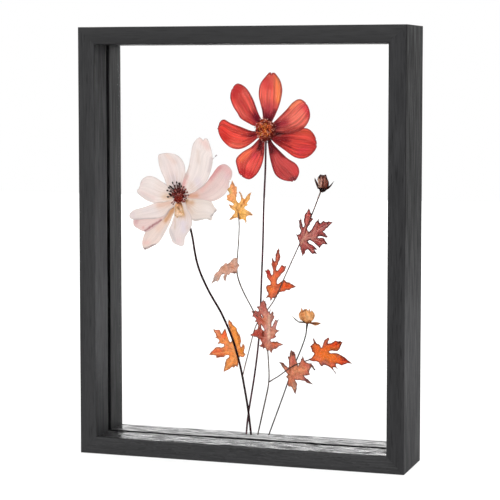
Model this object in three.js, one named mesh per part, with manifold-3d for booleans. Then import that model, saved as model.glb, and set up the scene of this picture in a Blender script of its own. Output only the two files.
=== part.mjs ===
// Pressed flower frame: a wood shadow frame that holds dried flowers between two glass panes.
// Millimetres. X runs to the right, Y away from the viewer and Z up.
// The origin is under the middle of the bottom rail.
import * as THREE from 'three';
import { mergeVertices } from 'three/addons/utils/BufferGeometryUtils.js';
import Module from 'manifold-3d';

// Frame
const frameWidth = 231;
const frameHeight = 296;
const frameDepth = 50;
const railFace = 12;
const railEdgeRadius = 1;
const railEdgeSegments = 3;
const mitreSetback = 0.1;

// Glazing: two panes stand in one groove, with the flowers between them
const paneThickness = 1.3;
const paneSpacing = 2.8;
const paneLap = 4;
const paneFitGap = 0.3;

// Pressed pieces lie in layers between the panes, layer 0 in the middle and -2 nearest the viewer
const layerPitch = 0.5;
const sheetThickness = 0.3;
const stemThickness = 0.4;
const stemSides = 6;
const petalSamples = 44;

// Red flower head
const redCentre = [12.3, 226];
const discRadii = [6.8, 7.6];
const discFrontY = -1.15;
const discBackY = -0.25;
const floretCount = 30;
const floretRadius = 0.8;
const floretHeight = 0.45;
const goldenAngle = Math.PI * (3 - Math.sqrt(5));

// Pale flower head
const paleCentre = [-51.2, 179.8];
const stamenY = -1.03;
const brushRadii = [4.3, 4.7];
const brushHalfDepth = 0.24;
const filamentRoot = 3.2;
const filamentWidth = 0.4;
const filamentDepth = 0.26;
const antherLength = 1.5;
const antherWidth = 0.8;
const antherDepth = 0.44;

// Buds are pressed flat, thicker than the leaves
const budDepth = 0.8;
const budBevel = 0.25;

const wasm = await Module();
wasm.setup();

const frameGroup = new THREE.Group();

function addPiece(name, geometry, colour, roughness = 0.8, extra = {}) {
  const material = new THREE.MeshStandardMaterial({ color: colour, roughness, metalness: 0, ...extra });
  const mesh = new THREE.Mesh(geometry, material);
  mesh.name = name;
  frameGroup.add(mesh);
  return mesh;
}

// A closed solid for joining, from a geometry whose shared corners are merged
function toSolid(geometry) {
  const bare = geometry.clone();
  bare.deleteAttribute('normal');
  bare.deleteAttribute('uv');
  const merged = mergeVertices(bare);
  const vertProperties = new Float32Array(merged.attributes.position.array);
  const triVerts = new Uint32Array(merged.index.array);
  return new wasm.Manifold(new wasm.Mesh({ numProp: 3, vertProperties, triVerts }));
}

function fuse(geometries) {
  const joined = geometries.map(toSolid).reduce((whole, piece) => whole.add(piece)).getMesh();
  const geometry = new THREE.BufferGeometry();
  geometry.setAttribute('position', new THREE.BufferAttribute(joined.vertProperties, 3));
  geometry.setIndex(new THREE.BufferAttribute(joined.triVerts, 1));
  geometry.computeVertexNormals();
  return geometry;
}

// Corner points in X and Z
function corners(pairs) {
  return pairs.map(([x, z]) => new THREE.Vector2(x, z));
}

// A smooth closed line through a few points, for round-edged petals
function smoothLoop(pairs) {
  const knots = pairs.map(([x, z]) => new THREE.Vector3(x, z, 0));
  const loop = new THREE.CatmullRomCurve3(knots, true, 'centripetal');
  return loop.getSpacedPoints(petalSamples).slice(0, -1).map((p) => new THREE.Vector2(p.x, p.y));
}

// A flat sheet cut to an outline, standing upright with its middle at the given depth
function sheet(outline, y, thickness = sheetThickness, holes = []) {
  const shape = new THREE.Shape(outline);
  shape.holes = holes.map((hole) => new THREE.Path(corners(hole)));
  const geometry = new THREE.ExtrudeGeometry(shape, { depth: thickness, bevelEnabled: false });
  geometry.rotateX(Math.PI / 2);
  geometry.translate(0, y + thickness / 2, 0);
  return geometry;
}

// A pressed stem: a flattened tube along a smooth line
function stem(pairs, layer, width, steps) {
  const points = pairs.map(([x, z]) => new THREE.Vector3(x, layer * layerPitch, z));
  const path = new THREE.CatmullRomCurve3(points, false, 'centripetal');
  const section = new THREE.Shape();
  for (let side = 0; side < stemSides; side += 1) {
    const angle = (side / stemSides) * 2 * Math.PI;
    const across = (width / 2) * Math.sin(angle);
    const deep = (stemThickness / 2) * Math.cos(angle);
    if (side === 0) section.moveTo(deep, across);
    else section.lineTo(deep, across);
  }
  return new THREE.ExtrudeGeometry(section, { steps, extrudePath: path });
}

// A squashed ball in the plane of the panes
function flatBall([x, z], [radiusX, radiusZ], y, halfDepth, around, rings) {
  const ball = new THREE.SphereGeometry(1, around, rings);
  ball.scale(radiusX, halfDepth, radiusZ);
  ball.translate(x, y, z);
  return ball;
}

// Rails: one grooved section, cut at 45 degrees at both ends
function railSection() {
  const half = frameDepth / 2;
  const radius = railEdgeRadius;
  const grooveHalf = paneSpacing / 2 + paneThickness + paneFitGap;
  const grooveFloor = railFace - paneLap - paneFitGap;
  const quarter = Math.PI / 2;
  const section = new THREE.Shape();
  section.absarc(half - radius, radius, radius, -quarter, 0);
  section.absarc(half - radius, railFace - radius, radius, 0, quarter);
  section.lineTo(grooveHalf, railFace);
  section.lineTo(grooveHalf, grooveFloor);
  section.lineTo(-grooveHalf, grooveFloor);
  section.lineTo(-grooveHalf, railFace);
  section.absarc(-half + radius, railFace - radius, radius, quarter, 2 * quarter);
  section.absarc(-half + radius, radius, radius, 2 * quarter, 3 * quarter);
  return section;
}

function railGeometry(length, outerDistance) {
  const options = { depth: length, bevelEnabled: false, curveSegments: railEdgeSegments };
  const geometry = new THREE.ExtrudeGeometry(railSection(), options);
  const position = geometry.attributes.position;
  for (let i = 0; i < position.count; i += 1) {
    const inset = position.getY(i) + mitreSetback;
    const along = position.getZ(i);
    position.setZ(i, along < length / 2 ? along + inset : along - inset);
  }
  const axes = [new THREE.Vector3(0, 1, 0), new THREE.Vector3(0, 0, 1), new THREE.Vector3(1, 0, 0)];
  geometry.applyMatrix4(new THREE.Matrix4().makeBasis(...axes));
  geometry.translate(-length / 2, 0, -outerDistance);
  geometry.computeVertexNormals();
  return geometry;
}

function addRails() {
  const rails = [
    ['rail_bottom', frameWidth, frameHeight / 2, 0],
    ['rail_right', frameHeight, frameWidth / 2, -Math.PI / 2],
    ['rail_top', frameWidth, frameHeight / 2, Math.PI],
    ['rail_left', frameHeight, frameWidth / 2, Math.PI / 2],
  ];
  for (const [name, length, outerDistance, turn] of rails) {
    const rail = addPiece(name, railGeometry(length, outerDistance), 0x3b3b3c, 0.6);
    rail.position.z = frameHeight / 2;
    rail.rotation.y = turn;
  }
}

function addPanes() {
  const width = frameWidth - 2 * (railFace - paneLap);
  const height = frameHeight - 2 * (railFace - paneLap);
  const offset = (paneSpacing + paneThickness) / 2;
  const clear = { transparent: true, opacity: 0.12 };
  for (const [name, side] of [['glass_front', -1], ['glass_back', 1]]) {
    const pane = addPiece(name, new THREE.BoxGeometry(width, paneThickness, height), 0xf4f8f8, 0.03, clear);
    pane.position.set(0, side * offset, frameHeight / 2);
  }
}

// Red flower: neighbours lap at their bases, so they lie in two layers
const redPetals = [
  { layer: 1, outline: [
    [11.6, 230], [9.5, 239.6], [8.2, 244.4], [7.2, 249.6], [8.1, 256.7], [12.1, 262.3], [15.4, 265.2],
    [16.5, 264.7], [17.6, 265.2], [22.2, 260], [23.9, 254], [23.1, 247.1], [19.9, 238], [15, 230]] },
  { layer: 0, outline: [
    [15.5, 228.5], [19.6, 232.7], [26.5, 239.3], [32.1, 245.2], [36.4, 247], [40.2, 245], [43.1, 240.1],
    [43.6, 234.6], [40.8, 229], [36.7, 225.7], [28.7, 223.9], [20.1, 224.6], [15.8, 225.4]] },
  { layer: 1, outline: [
    [16.3, 224.2], [24, 225.2], [32, 226.6], [42, 227.1], [46.4, 223.2], [48.1, 218.7], [48.2, 214.6],
    [44.1, 209.2], [38.6, 206.7], [32.9, 207.6], [25.5, 212.4], [18, 217.7], [15.4, 220.8]] },
  { layer: 0, outline: [
    [13.9, 221], [14.3, 213.5], [16.1, 203.9], [19.2, 195.7], [23.6, 192.4], [30.8, 191.2], [33.6, 192],
    [36.2, 197.6], [34.5, 202.5], [27.6, 207.1], [22.3, 211.9], [17, 217.6], [15.3, 221]] },
  { layer: 1, outline: [
    [9, 221], [2, 214.5], [-4.9, 210.3], [-9.1, 205.6], [-8.2, 199.6], [-6.7, 195.7], [-4.4, 193.6],
    [0.4, 192], [4.8, 194.6], [8.9, 200.7], [11, 208.4], [11.4, 215], [11.1, 221]] },
  { layer: 0, outline: [
    [8.2, 224.6], [2, 225.3], [-6, 228.1], [-12.9, 230.5], [-18, 232.9], [-20.7, 230.9], [-22, 226.3],
    [-19.9, 220.1], [-13.5, 214], [-7.4, 212.6], [-1.7, 214.3], [5.7, 219.6], [8, 222]] },
  { layer: 1, outline: [
    [10.6, 229.4], [6.8, 237.5], [2.5, 248.1], [-2.8, 255.3], [-8.2, 257.4], [-11.4, 254.7], [-13.3, 248.6],
    [-11.3, 242], [-7.9, 236.9], [-6.2, 234], [-0.1, 230.3], [4.1, 228.4], [8.6, 227.4]] },
];

// Pale flower: neighbours lap, so they lie in three layers
const palePetals = [
  { layer: 1, outline: [
    [-56.2, 184.6], [-59.9, 188.9], [-64.5, 197.5], [-65.9, 203.2], [-65.1, 208.3], [-57.3, 209.2],
    [-50.9, 207.1], [-46.7, 201.2], [-46.8, 195.4], [-49.3, 188.9], [-51.4, 184.6]] },
  { layer: 0, outline: [
    [-50.4, 182.8], [-46.6, 190.5], [-43.6, 199.6], [-42.1, 207.4], [-39.9, 216.3], [-35.6, 220.4],
    [-32.6, 218.9], [-30.3, 220], [-27.4, 213.8], [-25.9, 206], [-27, 198.4], [-31.1, 188.9],
    [-35.9, 184.9], [-42.3, 181.9], [-47, 181.2]] },
  { layer: 1, outline: [
    [-47, 179.6], [-38.6, 181.8], [-34.1, 184.9], [-27.4, 193.7], [-21.5, 200.9], [-16.8, 202.1],
    [-12.1, 197.6], [-12.5, 192.1], [-15.7, 183.6], [-21, 178.4], [-28.5, 175.8], [-38, 175.6],
    [-46.6, 176.6]] },
  { layer: 0, outline: [
    [-47.4, 176.8], [-40, 177.9], [-32, 177.4], [-26.9, 176], [-24.6, 172.6], [-22.8, 170.3], [-24.9, 168],
    [-27, 163], [-30.5, 164], [-35, 163], [-40, 162.6], [-43.6, 168.4], [-47.6, 173.6]] },
  { layer: -1, outline: [
    [-48.6, 173.4], [-43, 168.6], [-40.6, 161.5], [-42.7, 156], [-45.8, 151.5], [-47.3, 147.6],
    [-49, 145.1], [-53.6, 146.4], [-56.6, 150.6], [-58, 155.2], [-56, 160.5], [-54.4, 166],
    [-53.2, 171.6]] },
  { layer: 1, outline: [
    [-53.4, 172], [-55.8, 165], [-59.2, 157.4], [-63.3, 150.3], [-66.4, 146.3], [-70.5, 144],
    [-76.7, 141.4], [-78.3, 145.4], [-77.4, 150.6], [-74.5, 155.9], [-65, 163], [-59.6, 167.6],
    [-56.2, 172.4]] },
  { layer: 0, outline: [
    [-56.4, 172.2], [-61, 164.8], [-66.5, 159.6], [-71, 155.8], [-75.6, 154], [-80, 155.4], [-84.4, 158.3],
    [-84, 163.4], [-75, 165.4], [-66, 167.6], [-60, 171.4], [-57.2, 174.2]] },
  { layer: -1, outline: [
    [-56.6, 174.2], [-60, 166.6], [-66, 163.8], [-76, 162.9], [-84, 162.3], [-87, 163.6], [-87.4, 166],
    [-84.4, 168.9], [-77.5, 171.1], [-70, 173.3], [-62, 174.9], [-57.2, 176.8]] },
  { layer: 0, outline: [
    [-56.4, 177.6], [-62, 176.2], [-69, 174.8], [-74.2, 175.8], [-79.8, 179.5], [-81.9, 182.4],
    [-80, 185.6], [-78.4, 190], [-74, 193], [-68.4, 192.3], [-62.6, 188], [-57.4, 181.6]] },
];

function addFlower(prefix, petals, colours) {
  petals.forEach(({ layer, outline }, index) => {
    const geometry = sheet(smoothLoop(outline), layer * layerPitch);
    addPiece(`${prefix}_petal_${index + 1}`, geometry, colours[index % colours.length]);
  });
}

// The red flower's middle: a flat dome with florets in a sunflower spiral
function discGeometry() {
  const middleY = (discFrontY + discBackY) / 2;
  const halfDepth = (discBackY - discFrontY) / 2;
  const pieces = [flatBall(redCentre, discRadii, middleY, halfDepth, 20, 6)];
  for (let n = 0; n < floretCount; n += 1) {
    const spread = 0.88 * Math.sqrt((n + 0.5) / floretCount);
    const turn = n * goldenAngle;
    const floret = new THREE.ConeGeometry(floretRadius, floretHeight, 5);
    floret.rotateX(Math.PI);
    floret.translate(
      redCentre[0] + discRadii[0] * spread * Math.cos(turn),
      middleY - halfDepth * Math.sqrt(1 - spread * spread),
      redCentre[1] + discRadii[1] * spread * Math.sin(turn),
    );
    pieces.push(floret);
  }
  return fuse(pieces);
}

// The pale flower's stamens: a flat brush with a filament and an anther for each spot
const antherSpots = [
  [-58.8, 183.1], [-57.7, 184.8], [-55.8, 185.2], [-54.9, 188.1], [-52, 188.4], [-49.5, 187.4],
  [-47.4, 185.8], [-45.3, 184.4], [-43.9, 182.6], [-43.8, 180.3], [-57.1, 180.8], [-58.4, 178.7],
  [-56.4, 174.4], [-53.4, 186.2], [-51, 186], [-56.2, 182.6], [-45.2, 177.3],
];

function stamenGeometry() {
  const pieces = [flatBall(paleCentre, brushRadii, stamenY, brushHalfDepth, 14, 4)];
  for (const [x, z] of antherSpots) {
    const dx = x - paleCentre[0];
    const dz = z - paleCentre[1];
    const reach = Math.hypot(dx, dz);
    const lean = Math.atan2(dx, dz);
    const middle = (1 + filamentRoot / reach) / 2;
    const filament = new THREE.BoxGeometry(filamentWidth, filamentDepth, reach - filamentRoot);
    filament.rotateY(lean);
    filament.translate(paleCentre[0] + dx * middle, stamenY, paleCentre[1] + dz * middle);
    const anther = new THREE.SphereGeometry(0.5, 6, 3);
    anther.scale(antherWidth, antherDepth, antherLength);
    anther.rotateY(lean);
    anther.translate(x, stamenY, z);
    pieces.push(filament, anther);
  }
  return fuse(pieces);
}

const sepalOutline = [
  [-52.6, 173], [-50.4, 172.4], [-48.4, 172.6], [-47.2, 170.4], [-46.7, 167.4], [-46.6, 165],
  [-48.2, 165.8], [-50, 164.6], [-52, 164.8], [-53.6, 165.4], [-53.2, 168], [-53.8, 171]];

// Leaves: pointed lobes, read round each leaf from its top tip
const leaves = [
  { name: 'leaf_gold', layer: 0, colour: 0xe29a55, outline: [
    [-11.7, 191.2], [-10.3, 188.6], [-9.8, 187.2], [-8.5, 186.9], [-8.4, 184.5], [-8.1, 182.6],
    [-8.6, 180.4], [-8.8, 178.6], [-8.2, 176.8], [-7.2, 175.7], [-6.2, 176.3], [-5.6, 178], [-5.7, 180.4],
    [-7, 183.2], [-6.3, 183.6], [-5.2, 182.3], [-4.4, 180.6], [-3.4, 178.8], [-2.6, 178.7], [-1.2, 180.6],
    [0, 182], [2.3, 183.3], [1.6, 181.6], [1.1, 180], [1.2, 178.8], [0.4, 177.6], [-1.3, 175.4],
    [-0.3, 174.6], [-1, 173.9], [-2.9, 172.8], [-2.9, 172.1], [-1.2, 171], [0.5, 170.2], [1.7, 169.4],
    [3.7, 167.6], [2, 167.2], [0.2, 167.2], [-1.2, 166.7], [-1.6, 165.8], [-1.3, 163.6], [-1.2, 160.9],
    [-2.1, 162], [-2.5, 163.3], [-3.3, 164.2], [-6.1, 164.1], [-7.1, 165], [-9.2, 165.5], [-12.2, 164],
    [-14.7, 163.2], [-13.6, 164.7], [-11.4, 167.3], [-10.1, 168.6], [-9.9, 170.2], [-11.6, 170.9],
    [-13.2, 172.2], [-13.8, 173.5], [-15.9, 175.7], [-14, 174.7], [-11.2, 173.9], [-10.6, 174.8],
    [-12, 175.8], [-14.6, 177.1], [-16.3, 177.6], [-15.3, 178.3], [-15.7, 179.6], [-15.4, 180.9],
    [-13.9, 181.4], [-13.7, 182.3], [-15.3, 184.6], [-14.2, 186], [-13.2, 187.8]] },
  { name: 'leaf_burgundy', layer: 0, colour: 0x9c4f4b, outline: [
    [42.9, 173.3], [43.7, 172.1], [44.2, 170.4], [45, 169.3], [44.9, 166.8], [46.3, 166], [44.7, 164],
    [43.2, 161.5], [41.9, 159.2], [42.2, 158], [43.3, 157.2], [45.3, 159.4], [46.6, 161.8], [47.8, 164.2],
    [50.3, 166.3], [50, 164.8], [50.5, 163.6], [51.2, 163.2], [52.5, 164.4], [53.5, 165], [54.2, 164.3],
    [55.6, 164.2], [57.1, 164.8], [57.9, 164.3], [60.3, 164.3], [58.8, 163], [56.2, 160.3], [54.4, 158.6],
    [52.9, 157.7], [54.4, 156.8], [55.1, 155.5], [56.6, 153.9], [55.3, 153.5], [53.6, 153.9], [51, 154.4],
    [49.3, 154], [49.3, 153.4], [52.8, 153.4], [54, 152.9], [54.5, 151.8], [56.6, 149], [55, 148.9],
    [53.2, 149.2], [52, 148.2], [50.6, 146.1], [48.4, 148.2], [46.3, 150.3], [43.5, 151.5], [42.4, 150.7],
    [43.2, 149.3], [45.3, 148.5], [47.3, 147], [49.1, 145.2], [47, 145.2], [48.2, 143.4], [49, 142],
    [46.9, 142.5], [45.6, 142.1], [43.8, 143.8], [42.3, 145.2], [41.2, 144.8], [40.5, 143.9], [40.3, 142.5],
    [38.7, 140.3], [37.7, 143.3], [36.9, 145.2], [37.1, 146.3], [36.4, 147.4], [36.3, 149.6], [35.2, 152],
    [34.1, 155.6], [35.2, 155], [36.6, 155.6], [37.5, 157.1], [36.6, 159.3], [36.2, 160.6], [36.3, 162],
    [35.4, 165], [36.5, 164.8], [37.2, 166.6], [37.9, 165.2], [38.3, 163], [38.7, 160.6], [39.5, 160.3],
    [39.9, 161.4], [39.4, 164.4], [40.1, 169], [41.7, 170.7]] },
  { name: 'leaf_dusty', layer: -2, colour: 0xcb9a84, outline: [
    [-9.5, 138], [-8.2, 137.8], [-7.2, 138], [-5.3, 139.1], [-7.5, 137], [-7.7, 134.9], [-7, 133.9],
    [-6.1, 132.6], [-7.6, 130.3], [-7.8, 127.2], [-9.8, 126.9], [-12.8, 127.3], [-13.8, 125.7],
    [-14.9, 126.1], [-15.7, 124.2], [-16.6, 120.8], [-17.5, 122.4], [-17.9, 124.8], [-17, 126.6],
    [-19.2, 125.8], [-20.2, 124], [-21, 121.7], [-21.8, 121.8], [-22.3, 120.7], [-23, 121.5],
    [-25, 120.6], [-27.3, 117.9], [-26.2, 120.6], [-25.2, 123.6], [-24.6, 125.4], [-22.9, 127.4],
    [-21, 129.2], [-19.6, 131.5], [-17.1, 133.7], [-16, 134.2], [-14.7, 133.6], [-13.1, 134.7],
    [-12.1, 136.1], [-10.6, 137.5]] },
  { name: 'leaf_orange', layer: 2, colour: 0xcf5c3d, outline: [
    [21.6, 146], [22, 143.6], [22.6, 139], [22.2, 137.3], [21, 134.3], [19.7, 131.4], [19.6, 130.1],
    [20.6, 129.9], [21.6, 131], [23, 133.4], [23.9, 133.8], [25.3, 132.9], [27.2, 133.9], [26.3, 131.6],
    [25.8, 129.9], [24, 128.3], [22.2, 126], [20.6, 123.8], [20, 121.8], [20.3, 120.8], [21.9, 121.3],
    [23.9, 122.9], [24.7, 124], [25.8, 123.6], [26.6, 122.6], [29, 122.2], [31.4, 120.8], [33.8, 119.3],
    [32.4, 118.6], [30.2, 117.9], [28.8, 116.6], [26.9, 116.8], [25.4, 115.6], [22.1, 115.1], [21.3, 113.6],
    [20.5, 113.3], [20.1, 111.4], [18.6, 110.5], [16.9, 110.9], [15.7, 108.7], [15.2, 111], [13, 110.9],
    [11.7, 110.3], [14, 113.2], [12.8, 115.5], [12.2, 117.6], [12.7, 119.3], [14.2, 119.8], [15.5, 120],
    [15.6, 121.6], [14, 123.7], [13.1, 125], [12.3, 128], [11.5, 129.9], [12.7, 129.7], [13.5, 131.3],
    [15.4, 129.4], [16.1, 126.9], [16.8, 126.7], [17.3, 127.8], [16.9, 132], [16.1, 134.4], [16.6, 136.6],
    [16.4, 138.7], [17.4, 137.8], [18.6, 136], [19, 136.8], [19, 140.5], [19.9, 143.5], [21, 144.5]] },
  { name: 'leaf_rose', layer: 0, colour: 0xa75f50, outline: [
    [10.6, 110.1], [11.4, 108.5], [12.1, 109], [13, 106.5], [13.1, 104.3], [14, 102.2], [14.8, 101.2],
    [16.4, 104.4], [15.6, 101.4], [15.5, 99.8], [16.7, 101], [18.1, 103.1], [17.9, 99.4], [18.7, 98.2],
    [17.8, 96.2], [16.6, 93.4], [16.4, 91.3], [17.2, 91.5], [18.3, 94], [19.3, 96.3], [20.6, 95.6],
    [22.3, 96.7], [20.8, 93.8], [19.7, 90.2], [20.3, 89.2], [22.5, 88.7], [20.4, 87.3], [19.2, 85.5],
    [20.2, 84.4], [18.2, 83.1], [15.8, 82], [16.3, 80.8], [18, 81.1], [20.6, 81.3], [22.8, 80.2],
    [25.4, 79.2], [23, 78.3], [21.3, 77.2], [19.8, 75.9], [17.8, 75.4], [16.5, 72.8], [15, 74.9],
    [13.8, 73.7], [12, 76.5], [10.8, 74.9], [9.8, 76.9], [9.1, 76.6], [7.5, 77.6], [9.6, 79], [9.6, 80.2],
    [7.6, 82.5], [6.2, 83.3], [4.4, 83.6], [1.1, 84.7], [3.4, 86.3], [4.3, 88.3], [6.5, 89.1], [7, 91.6],
    [6.4, 93.9], [4.5, 93.8], [5.6, 96], [4.6, 96.9], [2.6, 97.6], [3.3, 99.6], [1.9, 101.7],
    [3.3, 101.4], [5, 102.2], [7, 101.3], [7.5, 102.2], [5.7, 104.6], [8, 105], [8.6, 107.2]],
    holes: [
      [[9.2, 90.4], [9.8, 89], [10.8, 88.2], [11.6, 88.6], [10.9, 90], [9.9, 91.3], [9, 92.2]],
      [[9.2, 98.4], [9.7, 97.5], [10.5, 97.5], [9.9, 98.7], [9.1, 99.4]]] },
  { name: 'leaf_amber', layer: 2, colour: 0xdd8045, outline: [
    [-15.1, 95], [-13.4, 93.5], [-12.2, 92.6], [-12, 91.5], [-10.2, 90], [-8.8, 88.5], [-7.9, 86],
    [-7.3, 84.4], [-6.7, 85], [-6, 82], [-5.6, 80], [-6.2, 77], [-5.8, 75.6], [-5, 76.8], [-4.4, 79.3],
    [-3, 76.3], [-3.7, 72.4], [-2.4, 70.9], [-3.4, 69.4], [-5, 68.8], [-6.4, 69.4], [-7.4, 67.6],
    [-7.8, 63.4], [-8.6, 61.2], [-9.4, 62.8], [-10.9, 61.2], [-12.2, 61.8], [-14, 60.2], [-16.5, 59],
    [-19, 57.2], [-18, 60.6], [-17.5, 63.8], [-16.6, 66.8], [-14.5, 68.5], [-14.5, 69.7], [-16.5, 69.7],
    [-18.1, 68.3], [-21.5, 67.9], [-23.9, 67.4], [-24, 69.1], [-29.4, 69.1], [-27.4, 71.8], [-25, 74.1],
    [-23.8, 75.1], [-19.2, 75.3], [-18, 76], [-18.5, 77.5], [-21.8, 77.5], [-23.8, 76.9], [-22.4, 78.3],
    [-21.5, 79.4], [-22.6, 80.8], [-24.7, 81.5], [-23.6, 82.4], [-25.1, 85.2], [-26.1, 87.4], [-23, 87.2],
    [-21.2, 87.1], [-20.4, 85], [-19.6, 84.5], [-18.6, 86.5], [-17.4, 89.1], [-16.6, 86.8], [-15.8, 83.4],
    [-14.5, 79.8], [-13.4, 78.8], [-12.5, 80.6], [-13.2, 84], [-14.2, 88], [-15.1, 92]] },
  { name: 'leaf_brown', layer: 0, colour: 0xb56a55, outline: [
    [30.7, 76.4], [31.6, 75], [33, 74.5], [33.8, 72.8], [34, 70.4], [35.2, 67], [35.5, 65], [36.6, 66.9],
    [37.3, 68], [37.6, 70], [38.2, 70], [38.5, 72.4], [39.9, 69.7], [40.4, 68.4], [42, 67.6],
    [45.2, 67.3], [45.3, 66.5], [46, 66], [46.7, 65], [48.1, 62.8], [46.9, 62.5], [45.2, 64.9],
    [44.2, 63.3], [43.5, 60.8], [44.1, 59.6], [42.8, 58.9], [41.2, 58.6], [39.6, 58.5], [41, 56.9],
    [42.6, 56.2], [44.2, 54.6], [46.3, 52.7], [43.4, 53.3], [42, 53.6], [39.6, 55], [36.6, 55.3],
    [33.4, 55.3], [35, 52.6], [34.8, 49.4], [33.6, 44.8], [32.5, 47.7], [31.2, 50.1], [28.9, 50.3],
    [28, 52.6], [28.5, 55.7], [27, 56.9], [28.4, 58.7], [26.2, 60.8], [24.5, 63.6], [21.9, 67.4],
    [23.6, 66.9], [25.6, 66.3], [28.4, 63.4], [29.2, 64.4], [29, 67.6], [28.2, 71.2], [29.6, 71.2],
    [29.9, 74]] },
  { name: 'leaf_scarlet', layer: 0, colour: 0xc9572f, outline: [
    [47, 85.3], [47.7, 82.8], [48.5, 81.4], [50.2, 80.8], [51.3, 79.8], [51.9, 78.3], [52.7, 78.8],
    [53.5, 81.5], [54.4, 84], [55.4, 84.3], [57, 85.7], [57.8, 84.3], [56.7, 82.3], [56.7, 81.4],
    [59.9, 82.4], [61.6, 83.7], [65.4, 83.6], [67, 82.8], [65.8, 80.5], [64.9, 78.2], [63.3, 76.5],
    [58.7, 76.6], [57.4, 75.9], [58, 75.1], [63.2, 75.1], [66, 73.9], [68.6, 72.6], [70.6, 70.8],
    [72.2, 69.8], [74, 68.4], [71.3, 68.7], [69, 67.8], [66.2, 66.9], [62.4, 67.8], [62.4, 66.8],
    [64.3, 63.8], [62, 65.3], [60.2, 65.1], [62, 62.3], [62.8, 60.1], [60.9, 62.6], [58.9, 64.7],
    [56.8, 66], [54.5, 66.7], [52.7, 65.5], [51.3, 66.5], [50.4, 68.2], [48.4, 68.9], [45.8, 68.8],
    [44.2, 69.2], [43, 69.8], [45.6, 71.5], [47.1, 74], [45.3, 75.4], [45, 77.4], [44.2, 79.2],
    [46.6, 81], [46.1, 83.6]] },
];

// Stems and twigs, each from its upper end down
const stems = [
  { name: 'red_stem', layer: 2, width: 0.95, steps: 22, colour: 0x4d3a3e, line: [
    [12.2, 222], [11.8, 198.8], [10.7, 176], [10.1, 149.4], [8.9, 119], [7.8, 90.5], [6.7, 77.2], [4, 56.3],
    [0.8, 37.3], [-0.8, 27.8], [-1.9, 15.4]] },
  { name: 'pale_stem', layer: 1, width: 1.15, steps: 24, colour: 0x241a1c, line: [
    [-48.8, 170.4], [-44.6, 163], [-42, 156], [-40.6, 149.4], [-39.2, 139.9], [-36.5, 129.4],
    [-32.7, 120.9], [-27.1, 110.4], [-21.4, 101.9], [-16.1, 91.4], [-11.2, 80], [-6.4, 63.9],
    [-3.6, 50.6], [-0.4, 32.5], [1.7, 15.4]] },
  { name: 'bud_dark_twig', layer: 1, width: 0.55, steps: 22, colour: 0x6b645f, line: [
    [50.6, 183.4], [47.3, 174.6], [44.6, 168], [40.1, 157], [35.4, 146.5], [29.7, 134.2], [24.6, 123],
    [20, 112.5], [15.4, 105], [9, 97.4], [5, 91.4], [2.1, 81], [-0.4, 71.5], [-2.6, 63.6], [-4, 57.2]] },
  { name: 'leaf_twig', layer: -1, width: 0.6, steps: 18, colour: 0x6a5c52, line: [
    [-8.8, 173], [-7.4, 168.6], [-6.6, 163], [-6.8, 152], [-7.8, 139], [-8.3, 129], [-7.6, 124.4],
    [-3.6, 114.6], [1.4, 105.8], [4.4, 100.4], [10.6, 94.2]] },
  { name: 'bud_tan_stem', layer: 1, width: 0.6, steps: 14, colour: 0x6b5a50, line: [
    [41.6, 93.2], [41.3, 87.6], [38, 77.6], [34.4, 69], [30.6, 60.6], [27.8, 52], [21.1, 33.5],
    [14.5, 15.8]] },
  { name: 'forked_stem', layer: -1, width: 0.65, steps: 12, colour: 0x6f655e, line: [
    [13.9, 76.6], [14.4, 70], [15, 60], [14.9, 52.6], [11.2, 35], [6.9, 15.8]] },
  { name: 'forked_stem_branch', layer: -1, width: 0.5, steps: 10, colour: 0x5d5049, line: [
    [46.6, 71], [43, 69.4], [34.4, 66], [30.6, 63.8], [26.2, 60.6], [20.6, 56.4], [15.5, 53.6]] },
];

// Buds: a bevelled pressed body with pointed sepals grown on it
const budDark = {
  colour: 0x6e453d,
  body: [
    [50.6, 184.8], [50.1, 187.2], [49.7, 189.6], [49, 192.6], [49.2, 194.2], [50.9, 196.3], [53.2, 195.9],
    [55, 196.4], [55.8, 193.9], [57, 191.2], [57, 189.2], [56.4, 187], [54.6, 185], [52.6, 184]],
  sepals: [
    [[51, 186], [50.2, 188.6], [49, 190.8], [47.1, 194.1], [46.9, 192.4], [48.2, 188.8], [49.2, 186.6]],
    [[55, 185.6], [57.3, 187], [58.8, 188.8], [60.7, 192.1], [58.1, 189.4], [55.8, 187.6]]],
};
const budTan = {
  colour: 0xd99566,
  body: [
    [41.6, 94], [39.6, 95.5], [37.2, 96.8], [36, 99.2], [36.1, 101.2], [37.4, 102.8], [38, 105.4],
    [39, 103.3], [40, 104.3], [41.6, 104.5], [42.7, 103.2], [43.5, 104.8], [44.4, 102.6], [45.2, 103.8],
    [47.1, 101.6], [47.5, 99.8], [46.6, 97.6], [44.9, 95.6], [43.4, 94.4]],
  sepals: [
    [[41, 95.6], [38.6, 95.7], [36, 95.7], [34.2, 97], [30.5, 100.1], [33.6, 96.5], [36.2, 94.8],
      [40.4, 94.6]],
    [[43, 95.4], [46, 95.6], [48, 95.9], [52, 95.2], [49.4, 93.6], [47.6, 93.2], [45.6, 94], [43.2, 94.6]]],
};

function budGeometry({ body, sepals }) {
  const options = {
    depth: budDepth,
    bevelThickness: budBevel,
    bevelSize: budBevel,
    bevelOffset: -budBevel,
    bevelSegments: 1,
  };
  const ball = new THREE.ExtrudeGeometry(new THREE.Shape(corners(body)), options);
  ball.rotateX(Math.PI / 2);
  ball.translate(0, budDepth / 2, 0);
  return fuse([ball, ...sepals.map((outline) => sheet(corners(outline), 0))]);
}

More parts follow.
